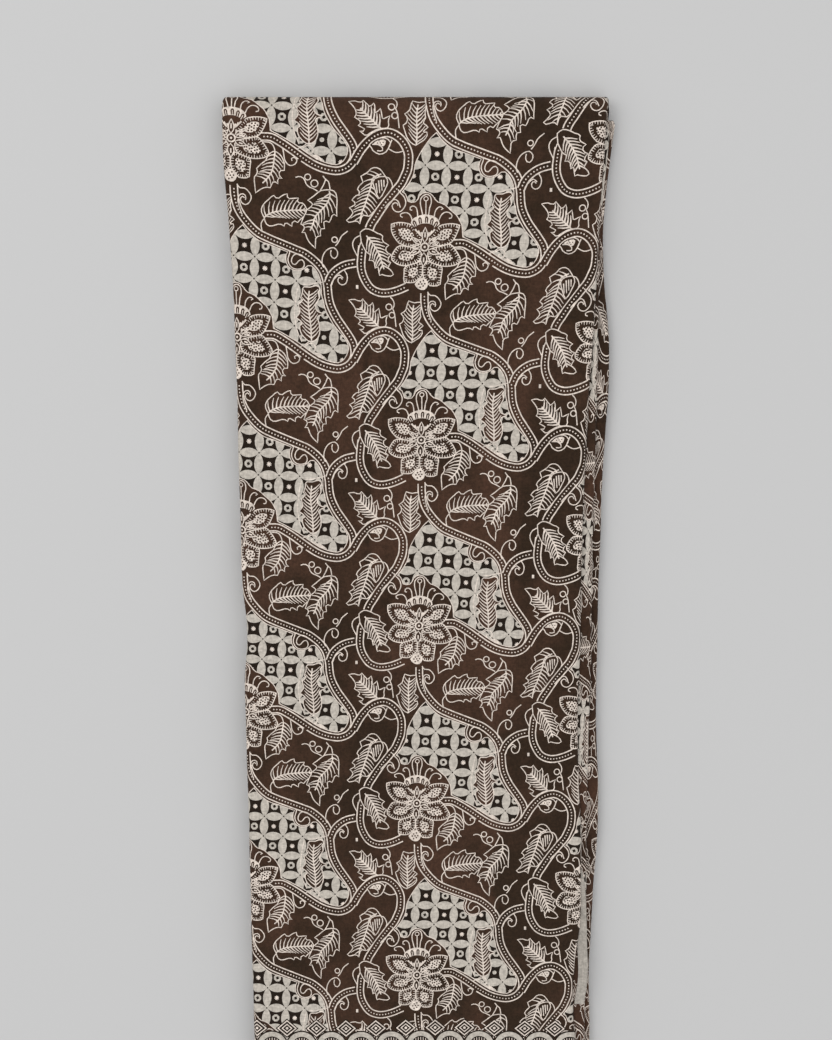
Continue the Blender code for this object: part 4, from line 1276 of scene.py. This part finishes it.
HEM_LAYERS = 13
rng = np.random.default_rng(7)
for k in range(HEM_LAYERS):
    low = 1.95 + 0.86 * k
    flat = laid(field_cloth(-106, 88, -14, 14, (17.0 * k, 31.0 * k), inner_field))
    flat = (flat[0] - [0, PRINT_ORIGIN], flat[1], flat[2])
    start_x = -97.2 + rng.uniform(0.0, 2.0)
    for line in (lambda s, u: s - start_x, lambda s, u: 78.0 - s, lambda s, u: u + 5.2, lambda s, u: 5.2 - u):
        flat = trim(flat, line)
    for share in (-1.0, -0.5, 0.0, 0.5, 1.0):
        flat = cut(flat, lambda s, u, share=share: u - share * math.pi / 2 * 0.36)
    inner_pieces.append(make_piece("hem_layer", flat, hem_layer(low,
                                                                low + 0.72, -287.3 + rng.uniform(0.0, 2.2), 1.3 * k),
                                   batik))

with bpy.context.temp_override(active_object=inner_pieces[0], selected_editable_objects=inner_pieces,
                               selected_objects=inner_pieces, object=inner_pieces[0]):
    bpy.ops.object.join()
inner_layers = inner_pieces[0]
inner_layers.name = inner_layers.data.name = "inner_layers"
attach(inner_layers, "root")
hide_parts("hidden_layers")

# The hems.
# The cloth is turned twice at each open end and sewn down with one row of running stitches.
HEM_CUT = 15.6
hem_bends = [HEM_FOLD_Y - share * math.pi * HEM_RADIUS for share in (0.0, 0.25, 0.5, 0.75, 1.0)]
for name, node, place, turn in (("front_hem_turned", "front_hem", front_hemmed, lambda u: u),
                                ("back_hem_turned", "back_hem", back_hemmed, lambda u: WHOLE_LENGTH - u)):
    flat = trim(trim(outer, lambda s, u: HEM_START - turn(u)), lambda s, u: turn(u) - HEM_START + HEM_CUT)
    for bend in hem_bends:
        flat = cut(flat, lambda s, u: turn(u) - bend)
    piece = make_piece(name, flat, place, batik)
    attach(piece, "root")
    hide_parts(node)

# The stitches.
# One row of short running stitches along each hem, in brown cotton thread.
thread = bpy.data.materials.new("stitch_thread")
thread.use_nodes = True
thread_shader = thread.node_tree.nodes["Principled BSDF"]
twist = thread.node_tree.nodes.new("ShaderNodeTexNoise")
twist.inputs["Scale"].default_value = 1800.0
tint = thread.node_tree.nodes.new("ShaderNodeValToRGB")
tint.color_ramp.elements[0].color = (0.10, 0.065, 0.045, 1)
tint.color_ramp.elements[1].color = (0.24, 0.17, 0.125, 1)
thread.node_tree.links.new(twist.outputs["Fac"], tint.inputs["Fac"])
thread.node_tree.links.new(tint.outputs["Color"], thread_shader.inputs["Base Color"])
thread_shader.inputs["Roughness"].default_value = 0.7


def stitch_tree():
    """Running stitches along a line: one short thread of the given size at each step."""
    tree = bpy.data.node_groups.new("running_stitches", "GeometryNodeTree")
    faces = tree.interface
    faces.new_socket("Line", in_out="INPUT", socket_type="NodeSocketGeometry")
    for name, value in (("Spacing", 0.0026), ("Length", 0.0018), ("Thickness", 0.0004)):
        faces.new_socket(name, in_out="INPUT", socket_type="NodeSocketFloat").default_value = value
    faces.new_socket("Seed", in_out="INPUT", socket_type="NodeSocketInt").default_value = 3
    faces.new_socket("Thread", in_out="INPUT", socket_type="NodeSocketMaterial")
    faces.new_socket("Stitches", in_out="OUTPUT", socket_type="NodeSocketGeometry")
    new, link = tree.nodes.new, tree.links.new
    given, out = new("NodeGroupInput"), new("NodeGroupOutput")
    curve, even = new("GeometryNodeMeshToCurve"), new("GeometryNodeResampleCurve")
    points = new("GeometryNodeCurveToPoints")
    even.mode = "LENGTH"
    points.mode = "EVALUATED"
    ball, size = new("GeometryNodeMeshIcoSphere"), new("ShaderNodeCombineXYZ")
    ball.inputs["Radius"].default_value = 0.5
    ball.inputs["Subdivisions"].default_value = 2
    shape, copies = new("GeometryNodeTransform"), new("GeometryNodeInstanceOnPoints")
    turn, jitter = new("FunctionNodeAlignRotationToVector"), new("FunctionNodeRandomValue")
    add = new("FunctionNodeRotateRotation")
    turn.axis = "X"
    jitter.data_type = "FLOAT_VECTOR"
    jitter.inputs["Min"].default_value = (0.0, 0.0, -0.12)
    jitter.inputs["Max"].default_value = (0.0, 0.0, 0.12)
    real, finish = new("GeometryNodeRealizeInstances"), new("GeometryNodeSetMaterial")
    link(given.outputs["Line"], curve.inputs["Mesh"])
    link(curve.outputs["Curve"], even.inputs["Curve"])
    link(given.outputs["Spacing"], even.inputs["Length"])
    link(even.outputs["Curve"], points.inputs["Curve"])
    link(points.outputs["Points"], copies.inputs["Points"])
    link(points.outputs["Tangent"], turn.inputs["Vector"])
    link(turn.outputs["Rotation"], add.inputs["Rotation"])
    link(given.outputs["Seed"], jitter.inputs["Seed"])
    link(jitter.outputs["Value"], add.inputs["Rotate By"])
    link(add.outputs["Rotation"], copies.inputs["Rotation"])
    link(given.outputs["Length"], size.inputs["X"])
    link(given.outputs["Thickness"], size.inputs["Y"])
    link(given.outputs["Thickness"], size.inputs["Z"])
    link(ball.outputs["Mesh"], shape.inputs["Geometry"])
    link(size.outputs["Vector"], shape.inputs["Scale"])
    link(shape.outputs["Geometry"], copies.inputs["Instance"])
    link(copies.outputs["Instances"], real.inputs["Geometry"])
    link(real.outputs["Geometry"], finish.inputs["Geometry"])
    link(given.outputs["Thread"], finish.inputs["Material"])
    link(finish.outputs["Geometry"], out.inputs["Stitches"])
    return tree


running_stitches = stitch_tree()
for name, place, turn, sink in (("front_stitches", front_hemmed, lambda u: u, 0.0),
                                ("back_stitches", back_hemmed, lambda u: WHOLE_LENGTH - u, 0.22)):
    u = turn(HEM_START - 1.3)
    row_s = np.linspace(-96.0, 87.0, 120)
    row = place(row_s, np.full(120, u)) + [0.0, 0.0, sink]
    mesh = bpy.data.meshes.new(name)
    mesh.from_pydata((row / 1000).tolist(), [(k, k + 1) for k in range(119)], [])
    source = bpy.data.objects.new(name, mesh)
    scene.collection.objects.link(source)
    sewn = source.modifiers.new("Stitches", "NODES")
    sewn.node_group = running_stitches
    sockets = {item.name: item.identifier for item in running_stitches.interface.items_tree}
    sewn[sockets["Thread"]] = thread
    sewn[sockets["Seed"]] = 3
    evaluated = source.evaluated_get(bpy.context.evaluated_depsgraph_get())
    source_mesh = bpy.data.meshes.new_from_object(evaluated)
    source.modifiers.clear()
    source.data = source_mesh
    source.data.name = name
    source.data.shade_smooth()
    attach(source, "root")

# The floor, the light and the camera.
# A plain pale floor under a soft studio light, seen from above and a little towards the fold end.
floor_mesh = bpy.data.meshes.new("floor")
floor_mesh.from_pydata([(-3, -3, -0.0006), (3, -3, -0.0006), (3, 3, -0.0006), (-3, 3, -0.0006)], [],
                       [(0, 1, 2, 3)])
floor = bpy.data.objects.new("floor", floor_mesh)
floor_material = bpy.data.materials.new("pale_floor")
floor_material.use_nodes = True
floor_shader = floor_material.node_tree.nodes["Principled BSDF"]
floor_shader.inputs["Base Color"].default_value = (0.61, 0.61, 0.61, 1)
floor_shader.inputs["Roughness"].default_value = 0.9
floor_shader.inputs["Specular IOR Level"].default_value = 0.1
floor_mesh.materials.append(floor_material)
scene.collection.objects.link(floor)

world = bpy.data.worlds.new("soft_room")
world.use_nodes = True
world.node_tree.nodes["Background"].inputs["Color"].default_value = (1.0, 1.0, 1.0, 1)
world.node_tree.nodes["Background"].inputs["Strength"].default_value = 0.80
scene.world = world
for name, place, size, power in (("key", (-0.9, 0.7, 1.7), 1.2, 7.6), ("fill", (1.0, -0.4, 1.9), 1.6, 2.7)):
    lamp = bpy.data.lights.new(name, "AREA")
    lamp.size, lamp.energy = size, power
    item = bpy.data.objects.new(name, lamp)
    item.location = place
    item.rotation_euler = (-Vector(place)).to_track_quat("-Z", "Y").to_euler()
    scene.collection.objects.link(item)

# focal length and picture height in pixels, from the spacing of the print in the photo
FOCAL_PIXELS, PICTURE_PIXELS = 1650.0, 1040.0
camera_data = bpy.data.cameras.new("camera")
camera_data.sensor_fit = "VERTICAL"
camera_data.sensor_height = 24.0
camera_data.lens = 24.0 * FOCAL_PIXELS / PICTURE_PIXELS
camera = bpy.data.objects.new("camera", camera_data)
camera.location = (-0.0021, 0.2201, 0.9456)
camera.rotation_euler = (math.radians(-10.18), 0.0, 0.0)
scene.collection.objects.link(camera)
scene.camera = camera
scene.view_settings.view_transform = "Standard"
